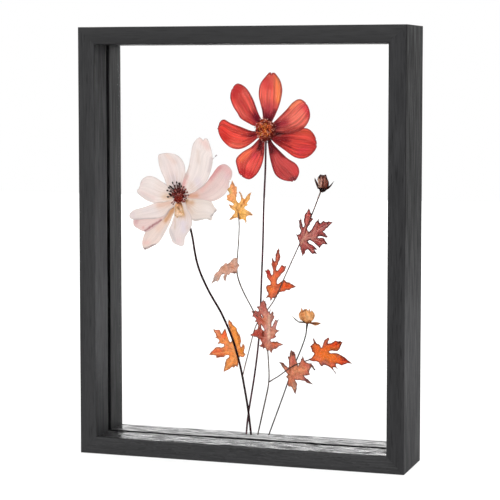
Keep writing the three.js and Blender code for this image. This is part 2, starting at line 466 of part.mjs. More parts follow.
addRails();
addPanes();
addFlower('red', redPetals, [0xd6503f, 0xd8605a, 0xd1433f, 0xcf413e, 0xd5493f, 0xce3f3c, 0xd04540]);
addPiece('red_disc', discGeometry(), 0x9a5a33, 0.9);
addFlower('pale', palePetals, [0xeadfdb, 0xecdfdb, 0xe6c9c2, 0xe7dad2]);
addPiece('pale_stamens', stamenGeometry(), 0x4a1c18, 0.85);
addPiece('pale_sepal', sheet(corners(sepalOutline), stamenY), 0xcfa06f);
for (const { name, layer, colour, outline, holes } of leaves) {
  addPiece(name, sheet(corners(outline), layer * layerPitch, sheetThickness, holes), colour);
}
for (const { name, layer, width, steps, colour, line } of stems) {
  addPiece(name, stem(line, layer, width, steps), colour);
}
addPiece('bud_dark', budGeometry(budDark), budDark.colour);
addPiece('bud_tan', budGeometry(budTan), budTan.colour);

export default frameGroup;
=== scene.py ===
import math
import random
import bpy
import numpy as np
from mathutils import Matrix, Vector, noise


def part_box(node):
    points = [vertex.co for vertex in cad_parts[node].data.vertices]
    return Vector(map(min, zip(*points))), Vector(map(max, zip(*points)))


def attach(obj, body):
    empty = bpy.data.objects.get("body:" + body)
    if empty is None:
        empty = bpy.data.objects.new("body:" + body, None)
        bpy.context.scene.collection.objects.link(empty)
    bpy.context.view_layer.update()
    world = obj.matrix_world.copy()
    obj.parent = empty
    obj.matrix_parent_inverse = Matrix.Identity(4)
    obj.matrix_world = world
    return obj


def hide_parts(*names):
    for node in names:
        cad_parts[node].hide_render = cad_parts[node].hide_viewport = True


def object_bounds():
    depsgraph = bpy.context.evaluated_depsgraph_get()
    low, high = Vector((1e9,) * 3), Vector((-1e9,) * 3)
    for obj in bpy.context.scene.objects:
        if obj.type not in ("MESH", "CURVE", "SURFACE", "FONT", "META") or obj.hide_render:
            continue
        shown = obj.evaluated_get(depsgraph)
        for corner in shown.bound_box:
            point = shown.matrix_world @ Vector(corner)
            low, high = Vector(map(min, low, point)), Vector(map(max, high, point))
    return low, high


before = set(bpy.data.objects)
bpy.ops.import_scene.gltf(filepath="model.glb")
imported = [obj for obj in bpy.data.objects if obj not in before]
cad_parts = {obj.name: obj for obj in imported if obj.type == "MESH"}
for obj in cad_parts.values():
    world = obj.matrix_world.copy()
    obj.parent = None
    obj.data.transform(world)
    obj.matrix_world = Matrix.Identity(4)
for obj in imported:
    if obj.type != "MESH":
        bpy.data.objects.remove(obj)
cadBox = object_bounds()
mm = 0.001
goldenTurn = math.pi * (3 - math.sqrt(5))
print("frame loaded:", len(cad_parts), "nodes")


# Helpers for operators
def selectOnly(piece):
    bpy.ops.object.select_all(action="DESELECT")
    piece.select_set(True)
    bpy.context.view_layer.objects.active = piece


def editMode(on):
    bpy.ops.object.mode_set(mode="EDIT" if on else "OBJECT")


def pickParts(piece, kind, test):
    # selects the edges or faces that pass the test, and stays in edit mode
    editMode(True)
    bpy.ops.mesh.select_mode(type=kind)
    bpy.ops.mesh.select_all(action="DESELECT")
    editMode(False)
    parts = piece.data.edges if kind == "EDGE" else piece.data.polygons
    for part in parts:
        part.select = test(part)
    editMode(True)


def cutAcross(place, normal, **options):
    bpy.ops.mesh.select_all(action="SELECT")
    bpy.ops.mesh.bisect(plane_co=place, plane_no=normal, **options)


def mergeDoubles(distance):
    bpy.ops.mesh.select_all(action="SELECT")
    bpy.ops.mesh.remove_doubles(threshold=distance * mm)


def applyPlace():
    bpy.ops.object.transform_apply(location=True, rotation=True, scale=True)


def applyModifiers(piece):
    selectOnly(piece)
    for modifier in list(piece.modifiers):
        bpy.ops.object.modifier_apply(modifier=modifier.name)


def addBlock(name, middle, size):
    bpy.ops.object.select_all(action="DESELECT")
    bpy.ops.mesh.primitive_cube_add(size=1, location=middle)
    block = bpy.context.object
    block.name = name
    bpy.ops.transform.resize(value=size)
    applyPlace()
    return block


def addBall(name, segments, rings):
    bpy.ops.object.select_all(action="DESELECT")
    bpy.ops.mesh.primitive_uv_sphere_add(segments=segments, ring_count=rings, radius=1)
    ball = bpy.context.object
    ball.name = name
    return ball


def placePiece(piece, node, material):
    piece.data.materials.clear()
    piece.data.materials.append(material)
    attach(piece, "root")
    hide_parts(node)


# Helpers for materials
def screenTone(red, green, blue):
    # a colour as it looks on screen, 0 to 255, in linear light
    return tuple(((c / 255 + 0.055) / 1.055) ** 2.4 for c in (red, green, blue))


def startMaterial(name):
    material = bpy.data.materials.new(name)
    material.use_nodes = True
    tree = material.node_tree
    return material, tree, tree.nodes["Principled BSDF"]


def addNode(tree, kind, inputs=None, **settings):
    node = tree.nodes.new("ShaderNode" + kind)
    for name, value in settings.items():
        setattr(node, name, value)
    for name, value in (inputs or {}).items():
        if isinstance(value, bpy.types.NodeSocket):
            tree.links.new(value, node.inputs[name])
        else:
            node.inputs[name].default_value = value
    return node


def objectPlace(tree):
    return addNode(tree, "TexCoord").outputs["Object"]


def readAttribute(tree, name, output):
    return addNode(tree, "Attribute", attribute_name=name).outputs[output]


def readPaint(tree):
    return readAttribute(tree, "paint", "Color")


def stretchVector(tree, vector, scale):
    return addNode(tree, "Mapping", {"Vector": vector, "Scale": scale}).outputs["Vector"]


def noiseValue(tree, vector, scale, detail, roughness):
    inputs = {"Vector": vector, "Scale": scale, "Detail": detail, "Roughness": roughness}
    return addNode(tree, "TexNoise", inputs).outputs["Fac"]


def mapValue(tree, value, low, high, toLow, toHigh):
    inputs = {"Value": value, "From Min": low, "From Max": high, "To Min": toLow, "To Max": toHigh}
    return addNode(tree, "MapRange", inputs).outputs["Result"]


def combine(tree, kind, first, second):
    return addNode(tree, "Math", {0: first, 1: second}, operation=kind).outputs[0]


def mixTones(tree, factor, first, second, blend="MIX"):
    node = addNode(tree, "Mix", data_type="RGBA", blend_type=blend)
    for place, value in ((0, factor), (6, first), (7, second)):
        if isinstance(value, bpy.types.NodeSocket):
            tree.links.new(value, node.inputs[place])
        else:
            node.inputs[place].default_value = value if place == 0 else (*value, 1)
    return node.outputs[2]


def shadeTone(tree, tint, pattern, low, high, darkest, lightest):
    # multiplies a colour by a pattern that runs from darkest to lightest
    shade = mapValue(tree, pattern, low, high, darkest, lightest)
    return mixTones(tree, 1.0, tint, shade, "MULTIPLY")


def dressShader(tree, shader, tint, roughness, gloss, height, bump, depth):
    # gloss, bump strength and bump depth in mm are single values, the rest are sockets
    tree.links.new(tint, shader.inputs["Base Color"])
    tree.links.new(roughness, shader.inputs["Roughness"])
    shader.inputs["Specular IOR Level"].default_value = gloss
    relief = addNode(tree, "Bump", {"Height": height, "Strength": bump, "Distance": depth * mm})
    tree.links.new(relief.outputs["Normal"], shader.inputs["Normal"])


# Camera and stage
cameraSpec = {
    "place": (376.5, -1156.8, 262.8),
    "turn": 17.986,
    "down": 4.316,
    "lens": 128.2,
    "shift": -0.08,
}
stageSpec = {
    "floorSize": 5,
    "floorTone": (0.3, 0.3, 0.3),
    "floorRoughness": 0.9,
    "floorGlow": 0.68,
    "world": 1.0,
}
softboxes = {
    "front_box": {"place": (0.3, -2.6, 1.6), "aim": (0, 0, 0.15), "size": (5, 3.2), "watts": 98},
    "back_box": {"place": (-0.5, 2.6, 1.7), "aim": (0, 0, 0.15), "size": (4.5, 2.6), "watts": 125},
    "side_box": {"place": (2.7, -0.9, 1.1), "aim": (0, 0, 0.15), "size": (2.4, 2), "watts": 26},
}


def addCamera():
    lens = bpy.data.cameras.new("camera")
    lens.lens = cameraSpec["lens"]
    lens.shift_y = cameraSpec["shift"]
    camera = bpy.data.objects.new("camera", lens)
    camera.location = Vector(cameraSpec["place"]) * mm
    camera.rotation_euler = (math.radians(90 - cameraSpec["down"]), 0, math.radians(cameraSpec["turn"]))
    bpy.context.scene.collection.objects.link(camera)
    bpy.context.scene.camera = camera


def addStage():
    bpy.ops.mesh.primitive_plane_add(size=stageSpec["floorSize"])
    floor = bpy.context.object
    floor.name = "floor"
    material, _, shader = startMaterial("floor_paper")
    shader.inputs["Base Color"].default_value = (*stageSpec["floorTone"], 1)
    shader.inputs["Roughness"].default_value = stageSpec["floorRoughness"]
    shader.inputs["Specular IOR Level"].default_value = 0
    shader.inputs["Emission Color"].default_value = (1, 1, 1, 1)
    shader.inputs["Emission Strength"].default_value = stageSpec["floorGlow"]
    floor.data.materials.append(material)
    world = bpy.data.worlds.new("studio")
    world.use_nodes = True
    backdrop = world.node_tree.nodes["Background"]
    backdrop.inputs["Color"].default_value = (1, 1, 1, 1)
    backdrop.inputs["Strength"].default_value = stageSpec["world"]
    bpy.context.scene.world = world
    bpy.context.scene.view_settings.view_transform = "Standard"


def addLights():
    for name, spec in softboxes.items():
        light = bpy.data.lights.new(name, "AREA")
        light.shape = "RECTANGLE"
        light.size, light.size_y = spec["size"]
        light.energy = spec["watts"]
        lamp = bpy.data.objects.new(name, light)
        lamp.location = spec["place"]
        lamp.rotation_euler = (Vector(spec["aim"]) - lamp.location).to_track_quat("-Z", "Y").to_euler()
        bpy.context.scene.collection.objects.link(lamp)


addCamera()
addStage()
addLights()
print("camera and lights set")


# Rails: charcoal wood with straight embossed grain, sizes in mm
railShape = {
    "edge": 1.0,
    "edgeSegments": 4,
    "lip": 0.25,
    "lipSegments": 2,
    "setback": 0.03,
    "fitGap": 0.3,
    "alongStep": 5,
    "acrossStep": 0.62,
    "leastSpan": 2,
    "spanSlack": 0.2,
    "relief": 0.05,
    "ridges": (0.03, 0.9, 0, 0.4),  # pitch along and across, shift, share of the relief
    "fibres": (0.08, 1.7, 40, 0.6),
    "grainShift": (0, 500),
    "smoothAngle": 32,
}
woodSpec = {
    "dark": (29, 29, 30),
    "light": (40, 40, 41),
    "pore": (14, 14, 15),
    "along": 34,
    "across": 760,
    "bump": 0.5,
}
# outer and inner give painted light and shade on those faces, as height and factor
# behind is the share of that on the inner face behind the glass
# shade makes each rail's copy of the one wood brighter or darker as the light falls on it: painted light and
# shade
railFinishes = {
    "rail_bottom": {
        "turn": 0, "shade": 1.05, "gloss": 0.2, "roughness": (0.14, 0.72), "relief": 0.3,
        "dash": (2.2, 0.55),
    },
    "rail_right": {
        "turn": -90, "shade": 1.28, "gloss": 0.07, "roughness": (0.5, 0.82), "relief": 0.24,
        "dash": (0.9, 1),
        "outer": ((0, 1.1), (37, 1.25), (75, 1.7), (110, 1.4), (150, 0.66), (200, 0.4), (296, 0.36)),
    },
    "rail_top": {
        "turn": 180, "shade": 0.8, "gloss": 0.17, "roughness": (0.45, 0.62), "relief": 0.12,
        "dash": (0.9, 1),
    },
    "rail_left": {
        "turn": 90, "shade": 1.12, "gloss": 0.17, "roughness": (0.5, 0.72), "relief": 0.13,
        "dash": (0.9, 1), "inner": ((20, 1.2), (37, 1.3), (60, 2.3), (100, 2.75), (262, 0.95), (285, 1.2)),
        "behind": 0.55,
    },
}


def isUpright(finish):
    return abs(finish["turn"]) == 90


def woodMaterial(name, finish):
    material, tree, shader = startMaterial(name)
    fibre, cross = woodSpec["along"], woodSpec["across"]
    stretch = (cross, cross, fibre) if isUpright(finish) else (fibre, cross, cross)
    place = objectPlace(tree)
    fine = stretchVector(tree, place, stretch)
    streaks = noiseValue(tree, fine, 1, 6, 0.62)
    bands = noiseValue(tree, fine, 0.16, 2, 0.5)
    pores = noiseValue(tree, fine, 2.3, 2, 0.5)
    ends = (screenTone(*woodSpec[end]) for end in ("dark", "light"))
    # the rail's shade factor is painted light and shade on the same wood
    dark, light = (tuple(c * finish["shade"] for c in end) for end in ends)
    tint = mixTones(tree, mapValue(tree, streaks, 0.32, 0.7, 0, 1), dark, light)
    tint = shadeTone(tree, tint, bands, 0.35, 0.65, 0.88, 1.1)
    tint = mixTones(tree, mapValue(tree, pores, 0.33, 0.42, 0.55, 0), tint, screenTone(*woodSpec["pore"]))
    # the rails' side faces take their painted light and shade here
    tint = mixTones(tree, 1.0, tint, readAttribute(tree, "paintedLight", "Fac"), "MULTIPLY")
    longer, wider = finish["dash"]
    dashSize = [step * (longer if step == fibre else wider) for step in stretch]
    dashes = noiseValue(tree, stretchVector(tree, place, dashSize), 1, 3, 0.6)
    roughness = mapValue(tree, dashes, 0.4, 0.6, *finish["roughness"])
    height = combine(tree, "ADD", streaks, dashes)
    dressShader(tree, shader, tint, roughness, finish["gloss"], height, woodSpec["bump"], finish["relief"])
    return material


def grainHeight(along, first, second):
    # long shallow ridges with short fibres between, from -1 to 1
    height = 0
    for layer in ("ridges", "fibres"):
        lengthwise, crosswise, shift, share = railShape[layer]
        spot = Vector((along * lengthwise, first * crosswise + shift, second * crosswise))
        height += share * noise.noise(spot)
    return height


def isNear(value, goal):
    return abs(value - goal) < 0.01 * mm


def crossSpan(rail, edge):
    # the length of an edge that runs across the rail, or 0
    a, b = (rail.data.vertices[i].co for i in edge.vertices)
    across = (a - b).length
    return 0 if abs(a.x - b.x) > across * 0.3 else across


def crossSpans(rail):
    editMode(False)
    spans = (crossSpan(rail, edge) for edge in rail.data.edges)
    return sorted({round(span, 4) for span in spans if span > railShape["leastSpan"] * mm}, reverse=True)


def carveGrain(rail):
    shift = random.uniform(*railShape["grainShift"])
    normals = [vertex.normal.copy() for vertex in rail.data.vertices]
    for vertex, normal in zip(rail.data.vertices, normals):
        place = vertex.co / mm
        height = grainHeight(place.x + shift, place.y + shift, place.z)
        vertex.co += normal * height * railShape["relief"] * mm


def storePaintedLight(rail, inward, finish):
    # painted light and shade: a factor on the wood's colour for each side face, set by its height
    layer = rail.data.attributes.new("paintedLight", "FLOAT", "FACE")
    for face, paintedLight in zip(rail.data.polygons, layer.data):
        facing = face.normal.dot(inward)
        side = "inner" if facing > 0 else "outer"
        paintedLight.value = 1
        if abs(facing) > 0.7 and side in finish:  # leaves out the front, the back and the groove's sides
            paintedLight.value = np.interp(face.center.z / mm, *zip(*finish[side]))
            if side == "inner" and face.center.y > 0:
                paintedLight.value *= finish["behind"]


def makeRail(node, finish):
    low, high = cadBox
    size = high - low
    half = size.y / 2
    length, outer = (size.z, size.x / 2) if isUpright(finish) else (size.x, size.z / 2)
    nodeLow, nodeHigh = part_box(node)
    face = min(nodeHigh.x - nodeLow.x, nodeHigh.z - nodeLow.z)
    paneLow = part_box("glass_front")[0]
    gap = railShape["fitGap"] * mm
    grooveHalf = gap - paneLow.y
    grooveDepth = face - (paneLow.z - low.z) + gap
    rail = addBlock(node + "_wood", (0, 0, face / 2), (length, size.y, face))

    def longMiddle(edge):
        # the middle of an edge that runs the length of the rail
        a, b = (rail.data.vertices[i].co for i in edge.vertices)
        return (a + b) / 2 if abs(a.x - b.x) > length / 2 else None

    def isCorner(edge):
        middle = longMiddle(edge)
        return middle is not None and isNear(abs(middle.y), half)

    def isLip(edge):
        middle = longMiddle(edge)
        return middle is not None and isNear(abs(middle.y), grooveHalf) and isNear(middle.z, face)

    editMode(True)
    cutAcross((0, -grooveHalf, 0), (0, 1, 0))
    cutAcross((0, grooveHalf, 0), (0, 1, 0))
    pickParts(rail, "FACE", lambda f: f.normal.z > 0.9 and abs(f.center.y) < grooveHalf)
    bpy.ops.mesh.extrude_region_move(TRANSFORM_OT_translate={"value": (0, 0, -grooveDepth)})
    pickParts(rail, "EDGE", isCorner)
    bpy.ops.mesh.bevel(offset=railShape["edge"] * mm, segments=railShape["edgeSegments"], affect="EDGES")
    pickParts(rail, "EDGE", isLip)
    bpy.ops.mesh.bevel(offset=railShape["lip"] * mm, segments=railShape["lipSegments"], affect="EDGES")
    mitre = length / 2 - railShape["setback"] * mm
    for side in (1, -1):
        cutAcross((side * mitre, 0, 0), (side, 0, 1), clear_outer=True, use_fill=True)
    pickParts(rail, "EDGE", lambda e: longMiddle(e) is not None)
    bpy.ops.mesh.subdivide(number_cuts=int(length / mm / railShape["alongStep"]))
    for width in crossSpans(rail):
        cuts = int(width / mm / railShape["acrossStep"])
        if cuts > 1:
            slack = railShape["spanSlack"] * mm
            pickParts(rail, "EDGE", lambda e: abs(crossSpan(rail, e) - width) < slack)
            bpy.ops.mesh.subdivide(number_cuts=cuts)
    editMode(False)
    carveGrain(rail)
    turn = math.radians(finish["turn"])
    inward = Vector((math.sin(turn), 0, math.cos(turn)))
    rail.rotation_euler = (0, turn, 0)
    rail.location = (low + high) / 2 - inward * outer
    applyPlace()
    bpy.ops.object.shade_smooth_by_angle(angle=math.radians(railShape["smoothAngle"]))
    storePaintedLight(rail, inward, finish)
    placePiece(rail, node, woodMaterial(node + "_wood", finish))


random.seed(11)
for railNode, railFinish in railFinishes.items():
    makeRail(railNode, railFinish)
print("rails grooved, mitred and grained")


# Panes: clear glass with a fine arris
glassSpec = {"arris": 0.2, "ior": 1.5, "reflection": (0.05, 0.05, 0.05)}


def glassMaterial():
    material, _, shader = startMaterial("clear_glass")
    shader.inputs["Base Color"].default_value = (1, 1, 1, 1)
    shader.inputs["Roughness"].default_value = 0
    shader.inputs["IOR"].default_value = glassSpec["ior"]
    shader.inputs["Transmission Weight"].default_value = 1
    shader.inputs["Specular Tint"].default_value = (*glassSpec["reflection"], 1)
    return material


def makePane(node, material):
    low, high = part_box(node)
    pane = addBlock(node + "_pane", (low + high) / 2, high - low)
    editMode(True)
    bpy.ops.mesh.select_all(action="SELECT")
    bpy.ops.mesh.bevel(offset=glassSpec["arris"] * mm, segments=1, affect="EDGES")
    editMode(False)
    placePiece(pane, node, material)


paneGlass = glassMaterial()
for paneNode in ("glass_front", "glass_back"):
    makePane(paneNode, paneGlass)
print("panes set")


# Pressed sheets: outlines come from the CAD sections, colours and veins from the dictionaries
sheetSpec = {
    "thickness": 0.16,
    "petalStep": 0.65,
    "leafStep": 0.5,
    "mostRelief": 0.14,
    "straight": 0.002,
    "nodeWeld": 0.005,
    "gridWeld": 0.03,
    "smoothAngle": 40,
    "toneGain": 0.95,
    "mostTone": 0.93,
    "dabWarp": (1.6, 0.45),  # size and reach of the ragged edges of dabs
    "rimNoise": 450,
}


def copyNode(node, name):
    piece = bpy.data.objects.new(name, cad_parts[node].data.copy())
    piece.data.materials.clear()
    bpy.context.scene.collection.objects.link(piece)
    selectOnly(piece)
    editMode(True)
    mergeDoubles(sheetSpec["nodeWeld"])
    editMode(False)
    return piece


def middleDepth(node):
    low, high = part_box(node)
    return (low.y + high.y) / 2


def meshPlaces(piece):
    flat = np.empty(len(piece.data.vertices) * 3)
    piece.data.vertices.foreach_get("co", flat)
    return flat.reshape(-1, 3) / mm


def flatPlaces(piece):
    return meshPlaces(piece)[:, [0, 2]]


def movePlaces(piece, places):
    piece.data.vertices.foreach_set("co", (places * mm).ravel())
    piece.data.update()


def sectionRings(node):
    # the outline at a node's middle depth, as closed rings of (x, z) corners in mm
    piece = copyNode(node, "section")
    editMode(True)
    cutAcross((0, middleDepth(node), 0), (0, 1, 0), clear_inner=True, clear_outer=True)
    editMode(False)
    nextTo = {}
    for edge in piece.data.edges:
        first, second = edge.vertices
        nextTo.setdefault(first, []).append(second)
        nextTo.setdefault(second, []).append(first)
    places = flatPlaces(piece)
    bpy.data.objects.remove(piece)
    rings = []
    while nextTo:
        walk = [next(iter(nextTo))]
        onward = nextTo[walk[0]]
        while onward:
            walk.append(onward[0])
            onward = [spot for spot in nextTo[walk[-1]] if spot not in walk]
        for spot in walk:
            nextTo.pop(spot)
        rings.append(cornersOnly(places[walk]))
    return sorted(rings, key=len, reverse=True)


def cornersOnly(ring):
    # drops the points that lie on straight sides, and turns the ring anticlockwise
    back = ring - np.roll(ring, 1, 0)
    ahead = np.roll(ring, -1, 0) - ring
    bend = back[:, 0] * ahead[:, 1] - back[:, 1] * ahead[:, 0]
    span = np.linalg.norm(back, axis=1) * np.linalg.norm(ahead, axis=1)
    ring = ring[np.abs(bend) > sheetSpec["straight"] * span]
    onward = np.roll(ring, -1, 0)
    area = (ring[:, 0] * onward[:, 1] - ring[:, 1] * onward[:, 0]).sum()
    return ring if area > 0 else ring[::-1]


def smoothRing(ring, rounds=2):
    # rounds the line between the given points and keeps the points
    for _ in range(rounds):
        after = np.roll(ring, -1, 0)
        middle = (9 * (ring + after) - np.roll(ring, 1, 0) - np.roll(ring, -2, 0)) / 16
        ring = np.stack((ring, middle), 1).reshape(-1, 2)
    return ring


def unevenRing(ring, step=1.1, jitter=(-0.32, 0.22), hollow=0.1):
    # breaks each side into short uneven steps and keeps the leaf's points
    rough = []
    for start, end in zip(ring, np.roll(ring, -1, 0)):
        side = end - start
        length = math.hypot(*side)
        outward = np.array((side[1], -side[0])) / length
        count = max(1, round(length / step))
        for k in range(count):
            share = k / count
            lift = 0
            if k > 0:
                lift = random.uniform(*jitter) - hollow * length * share * (1 - share)
            rough.append(start + side * share + outward * lift)
    return np.array(rough)


def nearestSpot(ring, x, z):
    return np.linalg.norm(ring - (x, z), axis=1).argmin()


def notchRing(ring, notches):
    # moves single outline points in or out, for torn and notched edges
    ring = ring.copy()
    middle = ring.mean(0)
    for x, z, depth in notches:
        spot = nearestSpot(ring, x, z)
        inward = middle - ring[spot]
        ring[spot] += inward / np.linalg.norm(inward) * depth
    return ring


def pushRing(ring, pushes):
    # moves a stretch of the outline, each as x, z, radius, and the move
    for x, z, radius, moveX, moveZ in pushes:
        weight = np.exp(-((np.linalg.norm(ring - (x, z), axis=1) / radius) ** 2))
        ring = ring + weight[:, None] * (moveX, moveZ)
    return ring


def cutSheet(name, rings, depth, along, step):
    # a flat face inside the rings, cut into a fine grid square to the given direction
    places = []
    edges = []
    for ring in rings:
        first = len(places)
        places += [(x * mm, depth, z * mm) for x, z in ring]
        edges += [(first + i, first + (i + 1) % len(ring)) for i in range(len(ring))]
    mesh = bpy.data.meshes.new(name)
    mesh.from_pydata(places, edges, [])
    piece = bpy.data.objects.new(name, mesh)
    bpy.context.scene.collection.objects.link(piece)
    selectOnly(piece)
    editMode(True)
    bpy.ops.mesh.select_mode(type="EDGE")
    bpy.ops.mesh.select_all(action="SELECT")
    if len(rings) == 1:
        bpy.ops.mesh.edge_face_add()
    else:
        bpy.ops.mesh.fill(use_beauty=False)
    for direction in (np.array(along), np.array((-along[1], along[0]))):
        reach = rings[0] @ direction
        for offset in np.arange(reach.min() + step / 2, reach.max(), step):
            x, z = direction * offset * mm
            cutAcross((x, 0, z), (direction[0], 0, direction[1]))
    mergeDoubles(sheetSpec["gridWeld"])
    editMode(False)
    return piece


def segmentGaps(places, starts, ends):
    # distance from each place to each segment in mm, and where along the segment it falls
    run = ends - starts
    offset = places[:, None, :] - starts
    share = (offset * run).sum(-1) / np.maximum((run ** 2).sum(-1), 1e-9)
    share = np.clip(share, 0, 1)
    return np.linalg.norm(offset - share[..., None] * run, axis=-1), share


def rimGaps(places, rings):
    starts = np.concatenate(rings)
    ends = np.concatenate([np.roll(ring, -1, 0) for ring in rings])
    return segmentGaps(places, starts, ends)[0].min(1)


def cloud(places, size, seed):
    # smooth noise, about -1 to 1, over a flat sheet
    return np.array([noise.noise(Vector((x / size, z / size, seed))) for x, z in places])


def waves(places, spec, seed):
    # soft swells of a given height and size in mm
    height, size = spec
    return height * cloud(places, size, seed)


def paintTones(places, base, dabs, seed):
    # soft dabs and strokes over the base colour, each as x, z, (x, z,) radius, colour, strength
    size, reach = sheetSpec["dabWarp"]
    warp = np.stack((cloud(places, size, seed), cloud(places, size, seed + 31)), 1) * reach
    tones = np.tile(np.array(base, float), (len(places), 1))
    for *ends, radius, tone, strength in dabs:
        start = np.array([ends[:2]], float)
        end = np.array([ends[-2:]], float)
        gap = segmentGaps(places + warp, start, end)[0][:, 0]
        weight = strength * np.exp(-((gap / radius) ** 2))
        tones += (np.array(tone) - tones) * weight[:, None]
    return tones


def storeTones(piece, tones):
    linear = ((tones / 255 + 0.055) / 1.055) ** 2.4 / sheetSpec["toneGain"]
    colours = np.c_[np.clip(linear, 0, sheetSpec["mostTone"]), np.ones(len(tones))]
    layer = piece.data.color_attributes.new("paint", "FLOAT_COLOR", "POINT")
    layer.data.foreach_set("color", colours.ravel())


def storeRim(piece, gaps):
    layer = piece.data.attributes.new("rim", "FLOAT", "POINT")
    layer.data.foreach_set("value", gaps)


def storeFlow(piece, first, second, seed):
    layer = piece.data.attributes.new("flow", "FLOAT_VECTOR", "POINT")
    flow = np.stack((first, second, np.full(len(first), float(seed))), 1)
    layer.data.foreach_set("vector", flow.ravel())


def thicken(piece, heights):
    # lifts the sheet into its relief and gives it a closed thickness
    places = meshPlaces(piece)
    limit = sheetSpec["mostRelief"]
    places[:, 1] += np.clip(heights, -limit, limit)
    movePlaces(piece, places)
    body = piece.modifiers.new("thickness", "SOLIDIFY")
    body.thickness = sheetSpec["thickness"] * mm
    body.offset = 0
    applyModifiers(piece)
    bpy.ops.object.shade_smooth_by_angle(angle=math.radians(sheetSpec["smoothAngle"]))


def darkRim(tree, tint, vector, spec):
    # a broken darker line along the outline, from the distance to it
    rim = readAttribute(tree, "rim", "Fac")
    uneven = mapValue(tree, noiseValue(tree, vector, sheetSpec["rimNoise"], 4, 0.55), 0.3, 0.7, 0.6, 1.4)
    width = combine(tree, "MULTIPLY", uneven, spec["rimWidth"])
    share = combine(tree, "DIVIDE", rim, width)
    strength = mapValue(tree, share, 0.35, 1, spec["rimStrength"], 0)
    return mixTones(tree, strength, tint, screenTone(*spec["rim"]), "DARKEN")


# Petals: fanned veins that run from the flower's middle to the tip
petalFinish = {
    "red_petal": {
        "cast": (1, 0.99, 0.96), "veins": 8, "shade": (0.76, 1.16), "fine": (0.82, 1.11),
        "rim": (114, 24, 32), "rimWidth": 1.2, "rimStrength": 0.7, "heart": (58, 8, 16),
        "heartReach": (5, 18), "heartStrength": 0.75, "roughness": (0.5, 0.72), "bump": 0.5, "gloss": 0.06,
        "relief": 0.15,
    },
    "pale_petal": {
        "cast": (0.985, 0.97, 0.966), "veins": 6, "shade": (0.965, 1.025), "fine": (0.97, 1.015),
        "rim": (190, 174, 170), "rimWidth": 0.7, "rimStrength": 0.4, "heart": (206, 160, 120),
        "heartReach": (4, 14), "heartStrength": 0.35, "roughness": (0.5, 0.68), "bump": 0.35, "gloss": 0.06,
        "relief": 0.15,
    },
}
petalRelief = {
    "ribs": (0.045, 11),  # height, and turns across the petal
    "ribDrift": (2, 14),
    "swells": (0.08, 9),
    "crinkles": (0.04, 3),
    "rimDrop": (0.05, 2),  # height, and how far in from the edge
}
veinSpec = {"run": 0.035, "fineCount": 3.4, "fineRun": 0.09, "drift": 3}
fanSpec = {"margin": 0.05, "levels": 70, "thinnest": 0.6, "widest": 1.1}
paleFoot = {"heart": (-51.6, 178), "near": 7, "fade": 4, "reach": 5.5}
shredTip = (0.45, -0.3)  # half of the torn shred's blunt end
